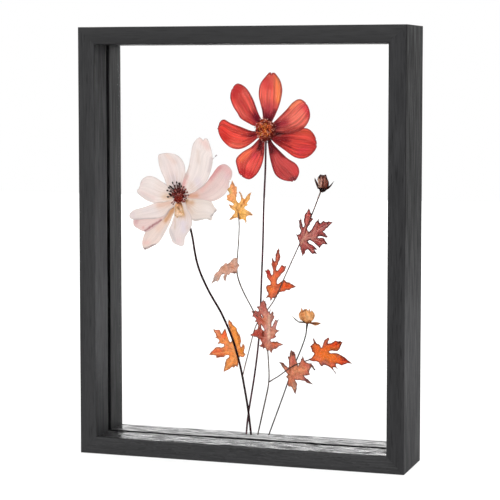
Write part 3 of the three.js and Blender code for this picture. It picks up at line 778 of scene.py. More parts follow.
redPetals = {
    "red_petal_1": {
        "axis": (13, 231, 16.2, 265), "tone": (226, 96, 84), "notches": [(16.4, 265.4, 1.0)],
        "dabs": [
            (12, 259, 14, 256, 3.4, (212, 60, 62), 0.8), (20.6, 262, 21, 246, 2.1, (242, 134, 78), 0.9),
            (14.5, 241, 15, 238, 4.5, (186, 62, 76), 0.8), (13.5, 234, 14.5, 232, 3.6, (104, 16, 36), 0.95),
            (15, 252, 14.6, 246, 2.2, (238, 108, 92), 0.5), (9.6, 240, 11, 234, 1.3, (90, 25, 35), 0.7),
            (18.6, 239, 16, 233.6, 1.2, (100, 28, 38), 0.7), (17.4, 263, 1.6, (236, 96, 88), 0.6),
        ],
    },
    "red_petal_2": {
        "axis": (16.5, 227, 38.5, 241), "tone": (222, 104, 92), "notches": [(41, 243.6, 0.5)],
        "dabs": [
            (28, 240.5, 37, 246, 2, (240, 136, 96), 0.8), (41.5, 242, 42.5, 236, 2.2, (196, 44, 58), 0.85),
            (38, 242, 40, 240.5, 2.4, (214, 66, 78), 0.7), (21, 229.5, 26, 231, 3.2, (150, 42, 54), 0.9),
            (17.5, 227.6, 20, 228.4, 2.4, (96, 20, 32), 0.85),
            (26, 225.5, 38, 227.5, 1.5, (150, 45, 42), 0.7), (18, 223.8, 25, 222.8, 1, (44, 10, 14), 0.85),
            (25, 222.8, 31, 223.6, 0.7, (104, 24, 28), 0.6), (33, 234, 37, 237, 4, (234, 126, 110), 0.6),
            (23, 236, 29, 240, 0.9, (170, 55, 60), 0.6), (30, 237, 36, 241, 0.8, (206, 92, 80), 0.5),
        ],
    },
    "red_petal_3": {
        "axis": (17, 222, 47, 216), "tone": (206, 66, 60), "notches": [(48, 216, 0.7), (47.6, 219.6, 0.4)],
        "dabs": [
            (36, 211.5, 41, 213.5, 2.8, (206, 58, 70), 0.7), (37, 226, 43, 225, 2.4, (222, 90, 66), 0.75),
            (18, 220, 26, 219.5, 2.6, (112, 18, 26), 0.75),
            (20, 218.5, 30, 218.6, 0.5, (110, 18, 26), 0.55),
            (19, 217.6, 30, 214.6, 0.6, (110, 20, 26), 0.6), (24, 221, 36, 221, 0.5, (130, 26, 32), 0.45),
            (46, 218, 46.5, 214, 1.8, (190, 48, 52), 0.6), (34, 222, 42, 221, 1.6, (216, 84, 72), 0.5),
            # the near-black stroke below is painted shade in the cleft between this petal and red_petal_2
            (17.6, 223, 31, 225, 1.2, (34, 6, 10), 0.92),
            (20.5, 222.3, 22.6, 222.5, 0.7, (150, 100, 98), 0.6),
        ],
    },
    "red_petal_4": {
        "axis": (14.6, 220, 30, 193), "tone": (190, 72, 72),
        "notches": [(31, 191, -0.5), (32.4, 191.6, 0.7)],
        "dabs": [
            (19, 207, 24, 197, 2.2, (204, 82, 80), 0.6), (22, 197, 3, (178, 54, 58), 0.6),
            (14.5, 219, 16.5, 212, 2.5, (66, 10, 18), 0.88), (16.5, 216, 25, 208.5, 1.5, (96, 20, 28), 0.8),
            (14.8, 212, 18, 198, 1.3, (110, 26, 34), 0.7), (32.5, 200, 34, 197, 2.4, (210, 66, 70), 0.8),
            (31, 193, 34, 193.4, 1.6, (112, 50, 58), 0.85), (27, 204, 31, 201, 2, (196, 74, 72), 0.5),
        ],
    },
    "red_petal_5": {
        "axis": (10, 220, -1, 193), "tone": (214, 78, 72),
        "notches": [(-5.2, 194.4, 0.8), (-7, 196.4, -0.4)],
        "dabs": [
            (-1, 203, 3, 200, 3, (224, 92, 82), 0.5), (-5.5, 206, 0, 210.8, 2.4, (238, 118, 80), 0.88),
            (4, 208.5, 2.6, (214, 66, 84), 0.7), (-5, 197, 2, 195, 3, (182, 42, 46), 0.8),
            (9, 219, 7.6, 213, 1.7, (44, 6, 12), 0.85), (5.5, 217, 3, 214, 0.6, (60, 8, 14), 0.55),
            (9.5, 214, 9.2, 209, 1, (80, 14, 24), 0.6), (6.4, 212, 5.6, 208, 0.5, (120, 24, 34), 0.4),
        ],
    },
    "red_petal_6": {
        "axis": (7.5, 222.6, -21, 224.5), "tone": (220, 76, 66),
        "notches": [(-22, 226.4, -0.6), (-21.2, 229, 0.5)],
        "dabs": [
            (-18.5, 225, -16, 220, 3.2, (204, 46, 42), 0.85),
            (-19, 231, -10, 228.6, 1.8, (224, 68, 64), 0.5),
            (-12, 215.5, -5, 215, 2.2, (228, 106, 90), 0.8), (6, 223, 2, 222, 2.4, (104, 18, 28), 0.8),
            (4, 221.5, -5, 222.4, 0.5, (120, 24, 34), 0.55), (3, 219.5, -4, 218, 0.5, (110, 20, 30), 0.5),
            (4, 224.3, -4, 226, 0.5, (130, 30, 38), 0.5), (-8, 224, -14, 224, 0.6, (190, 52, 50), 0.5),
        ],
    },
    "red_petal_7": {
        "axis": (8.6, 229, -8, 256), "tone": (214, 74, 68), "notches": [(-11.6, 254.4, 0.7)],
        "dabs": [
            (-11, 250, -7.5, 254, 3, (192, 42, 44), 0.85), (-3, 251, 2, 241, 2, (230, 102, 90), 0.75),
            (-9, 241, -3, 235.6, 2, (226, 106, 94), 0.7), (7.5, 231.5, 5, 235, 3, (120, 20, 44), 0.92),
            (4, 244, 8.6, 234, 1, (110, 30, 40), 0.7), (-6, 246, 1, 237, 0.8, (170, 48, 52), 0.5),
            (-2, 254, 2, (220, 84, 76), 0.5),
        ],
    },
}
palePetals = {
    "pale_petal_1": {
        "axis": (-53.8, 184.6, -56.5, 209), "tone": (234, 224, 221),
        "pushes": [
            (-47.5, 191, 5, 1.8, 0), (-58.4, 187, 4, -1.2, -0.3), (-63.4, 208, 3, -0.9, -0.5),
        ],
        "dabs": [
            (-57, 201, -56, 195, 3.5, (234, 217, 213), 0.6),
            (-60, 208, -54, 203, 1.8, (228, 208, 200), 0.85),
            (-55, 192, -53.6, 188, 3, (214, 204, 208), 0.7),
            (-48.5, 203, -47.5, 197, 2, (237, 229, 227), 0.5),
            (-65, 207, -64, 200, 1.4, (226, 214, 208), 0.6),
        ],
    },
    "pale_petal_2": {
        "axis": (-47.5, 182, -34, 220), "tone": (236, 227, 223), "spur": (-25.9, 205.4, -22.9, 208.4),
        "pushes": [(-45.6, 192, 5, -1.1, 0.2)], "notches": [(-32.6, 219.4, 1.2)],
        "dabs": [
            (-33, 218, -29.5, 214, 2.6, (232, 206, 200), 0.85),
            (-36.6, 211, -36.4, 203, 1.4, (226, 212, 204), 0.75),
            (-48.4, 184, -45.2, 193.5, 1.6, (226, 170, 168), 0.88),
            (-45.4, 192, -43.4, 201, 1.1, (204, 188, 180), 0.75),
            (-28.5, 197, -27, 206, 1.2, (208, 196, 196), 0.7),
            (-37, 190, -36, 187.5, 3, (224, 214, 222), 0.6),
            (-42, 188, -41, 186, 1.8, (222, 206, 198), 0.6),
            (-24.8, 206.6, -23, 208.2, 0.9, (128, 112, 116), 0.9),
        ],
    },
    "pale_petal_3": {
        "axis": (-46.5, 178.4, -14.5, 196), "tone": (224, 201, 197), "notches": [(-12.9, 191.4, 0.9)],
        "pushes": [(-38, 184.5, 6, -0.6, 1.5), (-13.6, 189.4, 2.4, -0.9, 0)],
        "dabs": [
            (-26, 179, -18, 184, 3, (234, 220, 214), 0.7), (-34, 184, -29, 190, 2, (228, 186, 178), 0.7),
            (-28, 193, -21, 200.3, 2.4, (214, 148, 148), 0.88),
            (-17.5, 200, -14, 196.5, 3, (226, 182, 182), 0.75),
            (-45.5, 179.6, -38, 180.2, 2, (212, 156, 128), 0.75), (-16, 193.5, 1.6, (226, 190, 204), 0.4),
            (-21, 190, -16, 188, 2.4, (232, 208, 204), 0.6),
        ],
    },
    "pale_petal_4": {
        "axis": (-47, 175.4, -25.5, 168), "tone": (229, 219, 212),
        "notches": [(-26.6, 165.6, 1.2), (-28.6, 163.6, 0.5)],
        "dabs": [
            (-30, 171, -27, 168, 2.6, (234, 226, 222), 0.6),
            (-45.5, 175, -41, 175, 2, (204, 166, 136), 0.85), (-41, 169, 2.4, (222, 206, 194), 0.6),
            # the brown stroke at the end of the next line, beside the sepal, is a painted shadow
            (-43.5, 172, 1.6, (212, 178, 166), 0.7), (-47.4, 175, -44.4, 176.6, 0.8, (140, 90, 50), 0.8),
            (-40, 163, -28, 163.9, 0.9, (192, 186, 182), 0.75),
            (-27, 166, -23, 170.2, 0.6, (150, 142, 140), 0.8),
        ],
    },
    "pale_petal_5": {
        "axis": (-51, 172, -51.5, 146), "tone": (230, 219, 216),
        "pushes": [(-53.6, 147.4, 2.4, -0.9, 0.3), (-47.8, 146.4, 2.6, 1, -0.5)],
        "dabs": [
            (-47.5, 161, -47, 156, 2.6, (224, 216, 226), 0.7),
            (-52, 170, -48, 167, 2.4, (214, 170, 134), 0.85),
            (-53.4, 164, -53.6, 157, 0.6, (208, 182, 162), 0.55), (-51, 148.6, 2.4, (228, 206, 206), 0.65),
            (-57, 156, -54, 148.5, 0.9, (204, 198, 198), 0.65), (-44.5, 158, 1.4, (226, 206, 200), 0.6),
        ],
    },
    "pale_petal_6": {
        "axis": (-55, 171, -76, 146), "tone": (236, 219, 211),
        "dabs": [
            (-54.8, 172, -57, 168.4, 1, (212, 138, 68), 0.8),
            (-63, 160, -66, 156.5, 2.5, (234, 206, 190), 0.7),
            (-54.6, 170.6, -61, 162, 1.5, (204, 152, 110), 0.85),
            (-77, 146, -74, 146.4, 2, (238, 202, 194), 0.75),
            (-76.8, 141.8, -68, 145.2, 0.6, (146, 128, 126), 0.85),
            (-60, 158.6, -64, 151, 1, (212, 204, 202), 0.65),
        ],
    },
    "pale_petal_7": {
        "axis": (-58, 172, -82, 160), "tone": (235, 211, 207),
        "dabs": [
            (-78, 161, -70, 162.4, 1.2, (236, 214, 208), 0.6),
            (-83, 160, -82, 163, 1.6, (212, 162, 164), 0.65), (-77.4, 157, 0.8, (220, 166, 160), 0.7),
            (-76, 154.8, -64, 162.4, 0.75, (152, 100, 104), 0.85),
        ],
    },
    "pale_petal_8": {
        "axis": (-57, 175, -86, 166), "tone": (234, 223, 219), "pushes": [(-66, 172, 5, 0.3, 1.2)],
        "dabs": [
            (-76, 169, -68, 169, 2.4, (230, 222, 222), 0.5),
            (-58, 174.6, -65, 173, 2.6, (228, 194, 176), 0.8),
            (-84, 162.8, -68, 163.8, 0.8, (204, 190, 190), 0.65), (-85, 166, 2, (226, 213, 215), 0.6),
        ],
    },
    "pale_petal_9": {
        "axis": (-57.5, 179.5, -80, 184), "tone": (237, 227, 223), "notches": [(-81, 184.2, 0.6)],
        "pushes": [(-65, 174.6, 5, -0.3, -1), (-60.4, 186, 4, 0.9, 1.1)],
        "dabs": [
            (-70, 189, 3.5, (240, 233, 229), 0.6), (-78, 181, -70, 178, 2.4, (234, 215, 211), 0.75),
            (-57.5, 178.5, -61, 179, 2.4, (222, 188, 156), 0.6),
            (-80, 179.8, -70, 175.6, 1, (214, 204, 200), 0.65), (-79, 188, 1.5, (232, 213, 209), 0.55),
        ],
    },
}


def petalMaterial(name, spec):
    material, tree, shader = startMaterial(name)
    flow = readAttribute(tree, "flow", "Vector")
    count, drift = spec["veins"], veinSpec["drift"]
    veins = noiseValue(tree, stretchVector(tree, flow, (count, veinSpec["run"], drift)), 1, 3, 0.5)
    fineStretch = (count * veinSpec["fineCount"], veinSpec["fineRun"], drift)
    fine = noiseValue(tree, stretchVector(tree, flow, fineStretch), 1, 4, 0.6)
    tint = shadeTone(tree, readPaint(tree), veins, 0.41, 0.58, *spec["shade"])
    tint = shadeTone(tree, tint, fine, 0.38, 0.62, *spec["fine"])
    along = addNode(tree, "SeparateXYZ", {"Vector": flow}).outputs["Y"]
    near = mapValue(tree, along, *spec["heartReach"], spec["heartStrength"], 0)
    streak = mapValue(tree, fine, 0.38, 0.56, 1, 0)
    tint = mixTones(tree, combine(tree, "MULTIPLY", near, streak), tint, screenTone(*spec["heart"]))
    tint = darkRim(tree, tint, objectPlace(tree), spec)
    roughness = mapValue(tree, fine, 0.3, 0.7, *spec["roughness"])
    height = combine(tree, "ADD", veins, combine(tree, "MULTIPLY", fine, 0.5))
    dressShader(tree, shader, tint, roughness, spec["gloss"], height, spec["bump"], spec["relief"])
    return material


def axisForward(axis):
    # the unit direction from an axis' first point to its second
    forward = np.array(axis[2:]) - axis[:2]
    return forward / np.linalg.norm(forward)


def fanPlaces(places, ring, axis):
    # across each petal from -1 to 1 between its two edges, and along it in mm
    root = np.array(axis[:2])
    forward = axisForward(axis)
    side = np.array((-forward[1], forward[0]))
    closed = np.concatenate((ring, ring[:1])) - root
    up, over = closed @ forward, closed @ side
    levels = np.linspace(up.min() + fanSpec["margin"], up.max() - fanSpec["margin"], fanSpec["levels"])
    left = []
    right = []
    for level in levels:
        crossing = np.nonzero((up[:-1] - level) * (up[1:] - level) <= 0)[0]
        rise = up[crossing + 1] - up[crossing]
        share = (level - up[crossing]) / np.where(rise == 0, 1, rise)
        spots = over[crossing] + share * (over[crossing + 1] - over[crossing])
        left.append(spots.min())
        right.append(spots.max())
    along = (places - root) @ forward
    low, high = np.interp(along, levels, left), np.interp(along, levels, right)
    across = 2 * ((places - root) @ side - low) / np.maximum(high - low, fanSpec["thinnest"]) - 1
    return np.clip(across, -fanSpec["widest"], fanSpec["widest"]), along


def drawIn(ring, axis):
    # draws a petal's foot in under the stamens
    gap = np.linalg.norm(ring - np.array(paleFoot["heart"]), axis=1)
    share = np.clip((gap - paleFoot["near"]) / paleFoot["fade"], 0, 1)
    reach = paleFoot["reach"] * (1 - share * share * (3 - 2 * share))
    return ring - axisForward(axis) * reach[:, None]


def addSpur(ring, x, z, tipX, tipZ):
    # a thin torn shred that stands out from the edge
    spot = nearestSpot(ring, x, z)
    before, after = ring[spot - 1], ring[(spot + 1) % len(ring)]
    tip = np.array((tipX, tipZ))
    foot = ring[spot] * 0.3 + after * 0.7
    shred = np.array((before, tip - shredTip, tip + shredTip, foot))
    return np.concatenate((ring[:spot - 1], shred, ring[spot + 1:]))


def petalRing(node, spec, finish):
    ring = notchRing(smoothRing(sectionRings(node)[0]), spec.get("notches", []))
    if "spur" in spec:
        ring = addSpur(ring, *spec["spur"])
    if finish == "pale_petal":
        ring = drawIn(ring, spec["axis"])
    return pushRing(ring, spec.get("pushes", []))


def petalHeights(places, across, ring, seed):
    rimDrop, rimReach = petalRelief["rimDrop"]
    inside = np.minimum(rimGaps(places, [ring]) / rimReach, 1)
    ribHeight, ribTurns = petalRelief["ribs"]
    drift = waves(places, petalRelief["ribDrift"], seed)
    heights = ribHeight * np.sin(across * ribTurns + drift) * inside
    heights += waves(places, petalRelief["swells"], seed + 5)
    heights += waves(places, petalRelief["crinkles"], seed + 9)
    return heights - rimDrop * (1 - inside)


def makePetal(node, spec, finish, material, seed):
    axis = spec["axis"]
    ring = petalRing(node, spec, finish)
    petal = cutSheet(node + "_sheet", [ring], middleDepth(node), axisForward(axis), sheetSpec["petalStep"])
    places = flatPlaces(petal)
    thicken(petal, petalHeights(places, fanPlaces(places, ring, axis)[0], ring, seed))
    places = flatPlaces(petal)
    tones = paintTones(places, spec["tone"], spec["dabs"], seed)
    storeTones(petal, tones * petalFinish[finish]["cast"])
    storeRim(petal, rimGaps(places, [ring]))
    storeFlow(petal, *fanPlaces(places, ring, axis), seed)
    placePiece(petal, node, material)


petalTypes = {finish: petalMaterial(finish, spec) for finish, spec in petalFinish.items()}
for petalNumber, (petalNode, petalSpec) in enumerate({**redPetals, **palePetals}.items()):
    finishName = "red_petal" if petalNode in redPetals else "pale_petal"
    makePetal(petalNode, petalSpec, finishName, petalTypes[finishName], 3.7 * petalNumber)
print("petals pressed:", len(redPetals) + len(palePetals))


# Leaves and the dried sepal: main veins from the base to each tip, with side veins between
leafFinish = {
    "veinWidth": (0.2, 0.65),
    "sideVein": 0.1,
    "sideStrength": 0.45,
    "sideStep": 2.1,
    "sideSlant": 0.9,
    "mottleSize": 520,
    "mottle": (0.74, 1.27),
    "crackleSize": 800,
    "crackle": (0.82, 1.08),
    "roughness": (0.48, 0.75),
    "gloss": 0.05,
    "bump": 0.45,
    "relief": 0.12,
}
leafRelief = {
    "veinGroove": (0.06, 0.5),  # depth and half width
    "puckers": (0.05, 2.4),
    "swells": (0.07, 8),
    "rimLift": (0.05, 1.2),
}
leafSpecs = {
    "leaf_gold": {
        "slot": "gold_leaf", "tone": (248, 184, 110), "rim": (190, 134, 84), "rimWidth": 0.7,
        "rimStrength": 0.65, "vein": (196, 126, 66), "veinStrength": 0.5,
        "veins": [
            (-6.8, 165, -7.4, 171), (-7.4, 171, -11.7, 191.2), (-7.4, 171, -7, 183.2),
            (-7.4, 171, 2.3, 183.3), (-6.8, 168, 3.7, 167.6), (-6.8, 166, -1.2, 160.9),
            (-6.8, 167, -14.7, 163.2), (-7.4, 171, -15.9, 175.7), (-9, 176, -16.3, 178),
        ],
        "dabs": [
            (-11, 188, -9.8, 182, 2, (240, 148, 110), 0.75),
            (-14, 179.6, -12, 178, 2, (244, 150, 102), 0.75),
            (-14.6, 185.4, -13, 183, 1.2, (190, 156, 100), 0.85),
            (-11.7, 190.5, -11.4, 188.6, 1.2, (172, 124, 98), 0.75),
            (-5.4, 169, -4, 166, 2.4, (248, 180, 88), 0.75), (-2.2, 177.6, 1.5, (246, 158, 90), 0.6),
            (2.6, 168, 1, 169, 1, (192, 142, 100), 0.7), (-1.6, 162, 1.1, (176, 144, 118), 0.75),
            (-13.5, 164.4, -11.5, 165.6, 1.1, (184, 130, 88), 0.75),
            (-14.4, 174.6, -12.8, 173, 1, (180, 126, 104), 0.75),
            (-6.4, 164.4, -7.2, 168.8, 0.55, (106, 58, 20), 0.92),
            (-7.2, 168.8, -8.7, 172.4, 0.5, (166, 104, 56), 0.75), (-5, 173.9, 0.8, (146, 84, 30), 0.9),
            (-3.4, 177.4, -2.9, 175.2, 0.7, (182, 98, 36), 0.85),
            (-6.4, 183, -4.6, 180, 0.8, (190, 146, 120), 0.6),
            (-8.4, 181, -8.6, 178, 0.8, (222, 150, 124), 0.6),
            (-1.2, 161.2, -1.6, 163, 1.1, (158, 134, 116), 0.8),
            (3.6, 167.4, 1.8, 168.4, 1, (160, 126, 104), 0.8),
            (-14.6, 163.2, -12.8, 164.4, 1.1, (164, 128, 98), 0.75),
            (-15.6, 175.4, -14, 174, 0.9, (150, 112, 104), 0.8),
            (-7, 183.2, -4.8, 179.4, 1, (158, 116, 90), 0.75),
            (2.2, 183, 1.2, 181.4, 0.9, (176, 128, 96), 0.7),
        ],
    },
    "leaf_burgundy": {
        "slot": "burgundy_leaf", "tone": (158, 74, 70), "rim": (76, 38, 38), "rimWidth": 1.1,
        "rimStrength": 0.85, "vein": (204, 138, 126), "veinStrength": 0.55,
        "veins": [
            (36.4, 149.4, 39, 153), (39, 153, 42.9, 173.3), (38, 155, 37.2, 166.6), (39, 153, 60.3, 164.3),
            (46, 156.4, 50.3, 166.3), (39, 153, 56.6, 153.9), (43, 153, 56.6, 149), (38, 151, 49, 142),
            (37, 149.4, 38.7, 140.3), (37.4, 152, 34.1, 155.6),
        ],
        "dabs": [
            (40.5, 152, 46, 154.6, 3, (178, 114, 102), 0.7),
            (42.6, 171, 41.4, 162, 1.3, (174, 50, 46), 0.85),
            (43.6, 168.6, 39.6, 157, 0.7, (196, 114, 104), 0.7),
            (44.4, 167, 42.4, 160.5, 0.8, (100, 50, 44), 0.7), (49.8, 163, 1, (138, 20, 22), 0.85),
            (50, 160.6, 1.2, (150, 78, 58), 0.7), (55, 163, 50, 159, 1.4, (178, 86, 84), 0.6),
            (54, 160.4, 46, 155.6, 0.7, (192, 114, 110), 0.6),
            (50.2, 151, 50, 149.6, 1.3, (160, 60, 60), 0.75), (45, 146.6, 1.8, (174, 70, 70), 0.75),
            (37.4, 165, 37.3, 161, 1.1, (86, 24, 44), 0.9), (36.9, 159.6, 1.2, (98, 46, 42), 0.75),
            (36.5, 154, 35.4, 153, 1, (162, 62, 58), 0.6), (39.2, 159.6, 0.8, (150, 40, 42), 0.7),
            (38.6, 143.4, 1.4, (116, 46, 44), 0.8), (49.9, 165.2, 0.9, (74, 34, 34), 0.85),
            (55.8, 153.9, 0.9, (48, 26, 26), 0.85), (55.4, 149.6, 1.1, (76, 40, 36), 0.85),
            (47.4, 146.4, 0.9, (80, 42, 36), 0.85), (47.6, 143, 1, (114, 44, 54), 0.8),
            (50.6, 147, 0.9, (100, 56, 50), 0.75), (43.2, 157, 0.8, (120, 70, 62), 0.7),
            (44.6, 162, 37.6, 148.6, 0.55, (208, 152, 126), 0.85),
            (43.3, 162.6, 36.6, 149.6, 0.4, (90, 32, 34), 0.7),
            (52.6, 160.8, 58.6, 162.8, 1.3, (126, 64, 68), 0.7),
            (50, 155.6, 55, 155, 0.8, (122, 56, 56), 0.6),
        ],
    },
    "leaf_dusty": {
        "slot": "dusty_leaf", "tone": (206, 158, 138), "rim": (158, 128, 116), "rimWidth": 0.7,
        "rimStrength": 0.7, "vein": (184, 128, 108), "veinStrength": 0.45,
        "veins": [
            (-8, 127.5, -27.3, 117.9), (-13, 127, -16.6, 120.8), (-8, 127.5, -8.4, 138),
            (-9, 130, -16, 134.2),
        ],
        "dabs": [
            (-11, 131.4, -12, 133, 1.3, (224, 152, 118), 0.75), (-17.4, 130.6, 1.8, (208, 142, 106), 0.75),
            (-26, 120, -24, 123, 2, (174, 154, 144), 0.8), (-9.4, 136.4, 1.8, (206, 170, 148), 0.7),
            (-19.6, 131.4, 1.2, (174, 128, 114), 0.65), (-17, 123, 1.4, (184, 156, 146), 0.75),
            (-22.8, 126.6, 1.5, (198, 148, 128), 0.5), (-6.6, 132.6, 0.8, (176, 144, 130), 0.65),
            (-14, 130.6, 0.9, (184, 130, 112), 0.6), (-11, 130.8, 0.8, (204, 126, 92), 0.6),
            (-8, 126.4, -9.8, 127.2, 0.9, (70, 44, 36), 0.92),
            (-7.6, 137.4, -5.6, 139, 0.7, (150, 138, 130), 0.8),
        ],
    },
    "leaf_orange": {
        "slot": "orange_leaf", "tone": (218, 96, 58), "rim": (108, 52, 40), "rimWidth": 1,
        "rimStrength": 0.8, "vein": (236, 148, 104), "veinStrength": 0.25,
        "veins": [
            (15.7, 110, 17.5, 116), (17.5, 116, 18.4, 126), (18.4, 126, 21.6, 146),
            (18.4, 126, 16.4, 138.7), (17.6, 121, 11.5, 129.9), (18, 122, 27.2, 133.9),
            (17.5, 116, 33.8, 119.3), (17, 114.6, 11.7, 117.6), (16.4, 112.6, 11.7, 110.3),
        ],
        "dabs": [
            (18, 121, 16.6, 117, 2, (228, 120, 66), 0.6), (14, 128, 1.7, (190, 40, 42), 0.92),
            (12.8, 128.2, 0.9, (128, 14, 18), 0.8), (20.8, 144, 20.2, 138, 1.6, (170, 76, 64), 0.85),
            (20.9, 139.6, 0.8, (208, 98, 86), 0.6), (19.4, 137.4, 0.8, (180, 110, 80), 0.6),
            (17, 136.6, 17.3, 133, 1.2, (174, 64, 38), 0.85), (18.6, 133, 18, 128, 1.2, (206, 96, 82), 0.6),
            (24.6, 131.6, 23, 129.6, 1.4, (208, 70, 60), 0.88), (17.4, 125.4, 1.4, (204, 122, 66), 0.7),
            (15.4, 116.4, 2, (242, 130, 56), 0.85), (12.9, 118, 13.6, 115.6, 0.9, (146, 68, 36), 0.75),
            (25, 119, 29, 119, 2, (228, 88, 36), 0.88), (26.6, 119, 28.6, 119.4, 0.9, (210, 64, 24), 0.7),
            (21, 117.6, 1.3, (206, 106, 88), 0.6), (18.6, 112.6, 1.4, (174, 102, 82), 0.75),
            (19.4, 111.2, 0.9, (116, 66, 62), 0.85), (24, 122.6, 21.4, 114.6, 0.55, (136, 66, 46), 0.85),
            (27.6, 121.6, 1, (154, 80, 38), 0.75), (12.4, 110.8, 1, (106, 70, 54), 0.85),
            (15.7, 109.6, 0.8, (156, 74, 46), 0.75), (25, 123.4, 0.9, (150, 88, 86), 0.7),
            (21.6, 144, 20.6, 136, 1.8, (178, 82, 70), 0.8),
            (17, 137, 17.6, 132.4, 1.2, (168, 64, 48), 0.8),
            (13.2, 129.2, 14.8, 125.6, 1.4, (170, 48, 48), 0.8),
            (26, 131.6, 23.4, 128, 1.4, (180, 66, 52), 0.75),
            (33.4, 119.2, 31.4, 119.2, 1.1, (132, 54, 40), 0.8),
            (12.2, 110.6, 13.8, 111.4, 0.9, (104, 84, 66), 0.85),
        ],
    },
    "leaf_rose": {
        "slot": "rose_leaf", "tone": (190, 110, 94), "rim": (104, 60, 54), "rimWidth": 0.8,
        "rimStrength": 0.75, "vein": (214, 160, 138), "veinStrength": 0.22,
        "veins": [
            (13.9, 76.6, 14.8, 90), (14.8, 90, 10.6, 110.1), (14.6, 92, 18.1, 103.1),
            (14.8, 88, 22.3, 96.7), (14.8, 86, 22.5, 88.7), (14, 78.4, 25.4, 79.2), (13.4, 94, 1.9, 101.7),
            (14, 83, 1.1, 84.7),
        ],
        "dabs": [
            (11.4, 101.4, 15.2, 80, 1.2, (208, 160, 144), 0.65), (3, 101, 8, 96, 2.2, (172, 78, 68), 0.75),
            (3, 85, 9, 85.6, 2, (168, 62, 50), 0.8), (10.6, 109, 11, 104, 1.6, (166, 82, 76), 0.7),
            (11, 108, 11.4, 103, 1.6, (184, 92, 82), 0.8),
            (12.2, 107.4, 12.8, 105, 0.7, (100, 54, 48), 0.85), (10.6, 109.4, 0.8, (116, 72, 66), 0.75),
            (7.4, 104.4, 9, 103, 0.9, (156, 108, 96), 0.75), (11.5, 96.6, 12, 94, 1.8, (208, 120, 86), 0.8),
            (7.5, 98, 10.8, 94.2, 0.9, (170, 68, 48), 0.8), (6.4, 99.6, 5, 98, 1.6, (184, 92, 84), 0.75),
            (3.4, 101.7, 6.6, 98, 0.55, (88, 42, 34), 0.88), (7, 101, 1, (160, 80, 86), 0.6),
            (14.9, 99, 14.8, 84, 0.9, (218, 180, 154), 0.88),
            (16.8, 99.4, 16.4, 95, 0.8, (148, 110, 102), 0.75), (17.2, 100.4, 0.7, (96, 80, 70), 0.75),
            (15.2, 101.4, 0.7, (104, 84, 72), 0.75), (20, 94.6, 18.4, 91, 1.4, (194, 134, 130), 0.85),
            (21.4, 95.4, 0.8, (106, 80, 80), 0.8), (22, 88.6, 0.9, (88, 80, 72), 0.88),
            (18.4, 88.4, 17, 86, 1.6, (208, 144, 114), 0.75), (19.6, 84.4, 0.9, (116, 78, 72), 0.85),
            (12.6, 90.4, 1.2, (198, 136, 132), 0.7), (12.6, 85.4, 1.3, (206, 122, 106), 0.6),
            (7, 87.4, 5.4, 85, 1.8, (178, 70, 56), 0.88), (10.4, 87, 10.6, 84.6, 1, (108, 40, 26), 0.88),
            (9.2, 82.8, 1.3, (160, 54, 40), 0.85), (5.6, 84, 8, 83.4, 0.7, (126, 46, 34), 0.75),
            (8, 89.6, 0.8, (86, 40, 32), 0.85), (10.4, 79, 10.8, 77, 1.1, (136, 58, 48), 0.88),
            (20, 79.4, 17.6, 79, 1.7, (202, 92, 54), 0.88), (18, 80.9, 22, 80.6, 0.8, (136, 80, 40), 0.85),
            (24.4, 79.3, 0.8, (108, 74, 56), 0.85), (19.6, 76.4, 0.8, (100, 62, 42), 0.85),
            (13.4, 79, 13.6, 76.6, 1.3, (210, 134, 102), 0.8),
            (16.4, 76.6, 16.5, 74, 0.9, (146, 92, 70), 0.85),
            (12.6, 76, 13.6, 74.6, 0.7, (106, 68, 58), 0.75),
        ],
    },
    "leaf_amber": {
        "slot": "amber_leaf", "tone": (236, 138, 72), "rim": (140, 78, 48), "rimWidth": 0.9,
        "rimStrength": 0.75, "vein": (244, 176, 112), "veinStrength": 0.5,
        "veins": [
            (-9, 65, -11.5, 75), (-11, 74, -15.1, 95), (-11.5, 75, -17.4, 89.1), (-12, 74.6, -26.1, 87.4),
            (-11.4, 73, -29.4, 69.4), (-10, 69, -19, 57.2), (-9.6, 70, -2.4, 70.9), (-10.4, 72, -4.4, 79.3),
        ],
        "dabs": [
            (-25.4, 87, -20, 82, 2, (206, 104, 78), 0.7), (-28.4, 70, -20, 72, 2.2, (206, 90, 62), 0.7),
            (-17.4, 88.4, -17.6, 84, 1.1, (204, 78, 56), 0.7), (-10, 89, -8, 78, 2.2, (242, 152, 68), 0.88),
            (-8.6, 87.6, -6.4, 78, 0.9, (172, 94, 40), 0.8), (-13.6, 92.4, 1.2, (228, 128, 92), 0.7),
            (-14.9, 94.4, 0.8, (146, 100, 86), 0.75), (-5.4, 73.4, 1.6, (224, 132, 42), 0.85),
            (-3.6, 71, 0.9, (146, 92, 44), 0.75), (-4, 76.4, 0.9, (164, 104, 70), 0.8),
            (-18, 85, -18.4, 82.4, 1.5, (246, 100, 52), 0.92), (-17.5, 87.8, 0.9, (124, 60, 56), 0.85),
            (-23, 85.6, 1.6, (234, 136, 112), 0.85), (-21, 85, 1, (194, 110, 54), 0.75),
            (-25.6, 87, 1, (172, 136, 130), 0.8), (-21, 72, -25, 71.6, 2, (234, 108, 66), 0.88),
            (-19.8, 70, 1.4, (228, 96, 56), 0.65), (-23.6, 68.4, -18.4, 68.6, 0.8, (136, 60, 44), 0.88),
            (-24, 74.6, -19.6, 74.8, 0.9, (184, 112, 88), 0.75), (-28.6, 69.8, 1.2, (146, 78, 68), 0.85),
            (-15, 75, 2.6, (226, 128, 82), 0.7), (-17.4, 77, 1.2, (234, 138, 108), 0.6),
            (-13, 66, -15.6, 62, 2.4, (236, 148, 82), 0.85),
            (-16.4, 66.6, -18, 60, 0.9, (188, 132, 88), 0.75), (-18.6, 58.2, 1, (156, 116, 98), 0.85),
            (-11, 63, -9, 62.4, 1, (180, 118, 74), 0.8), (-21.6, 78.6, 0.9, (176, 128, 114), 0.65),
        ],
    },
    "leaf_brown": {
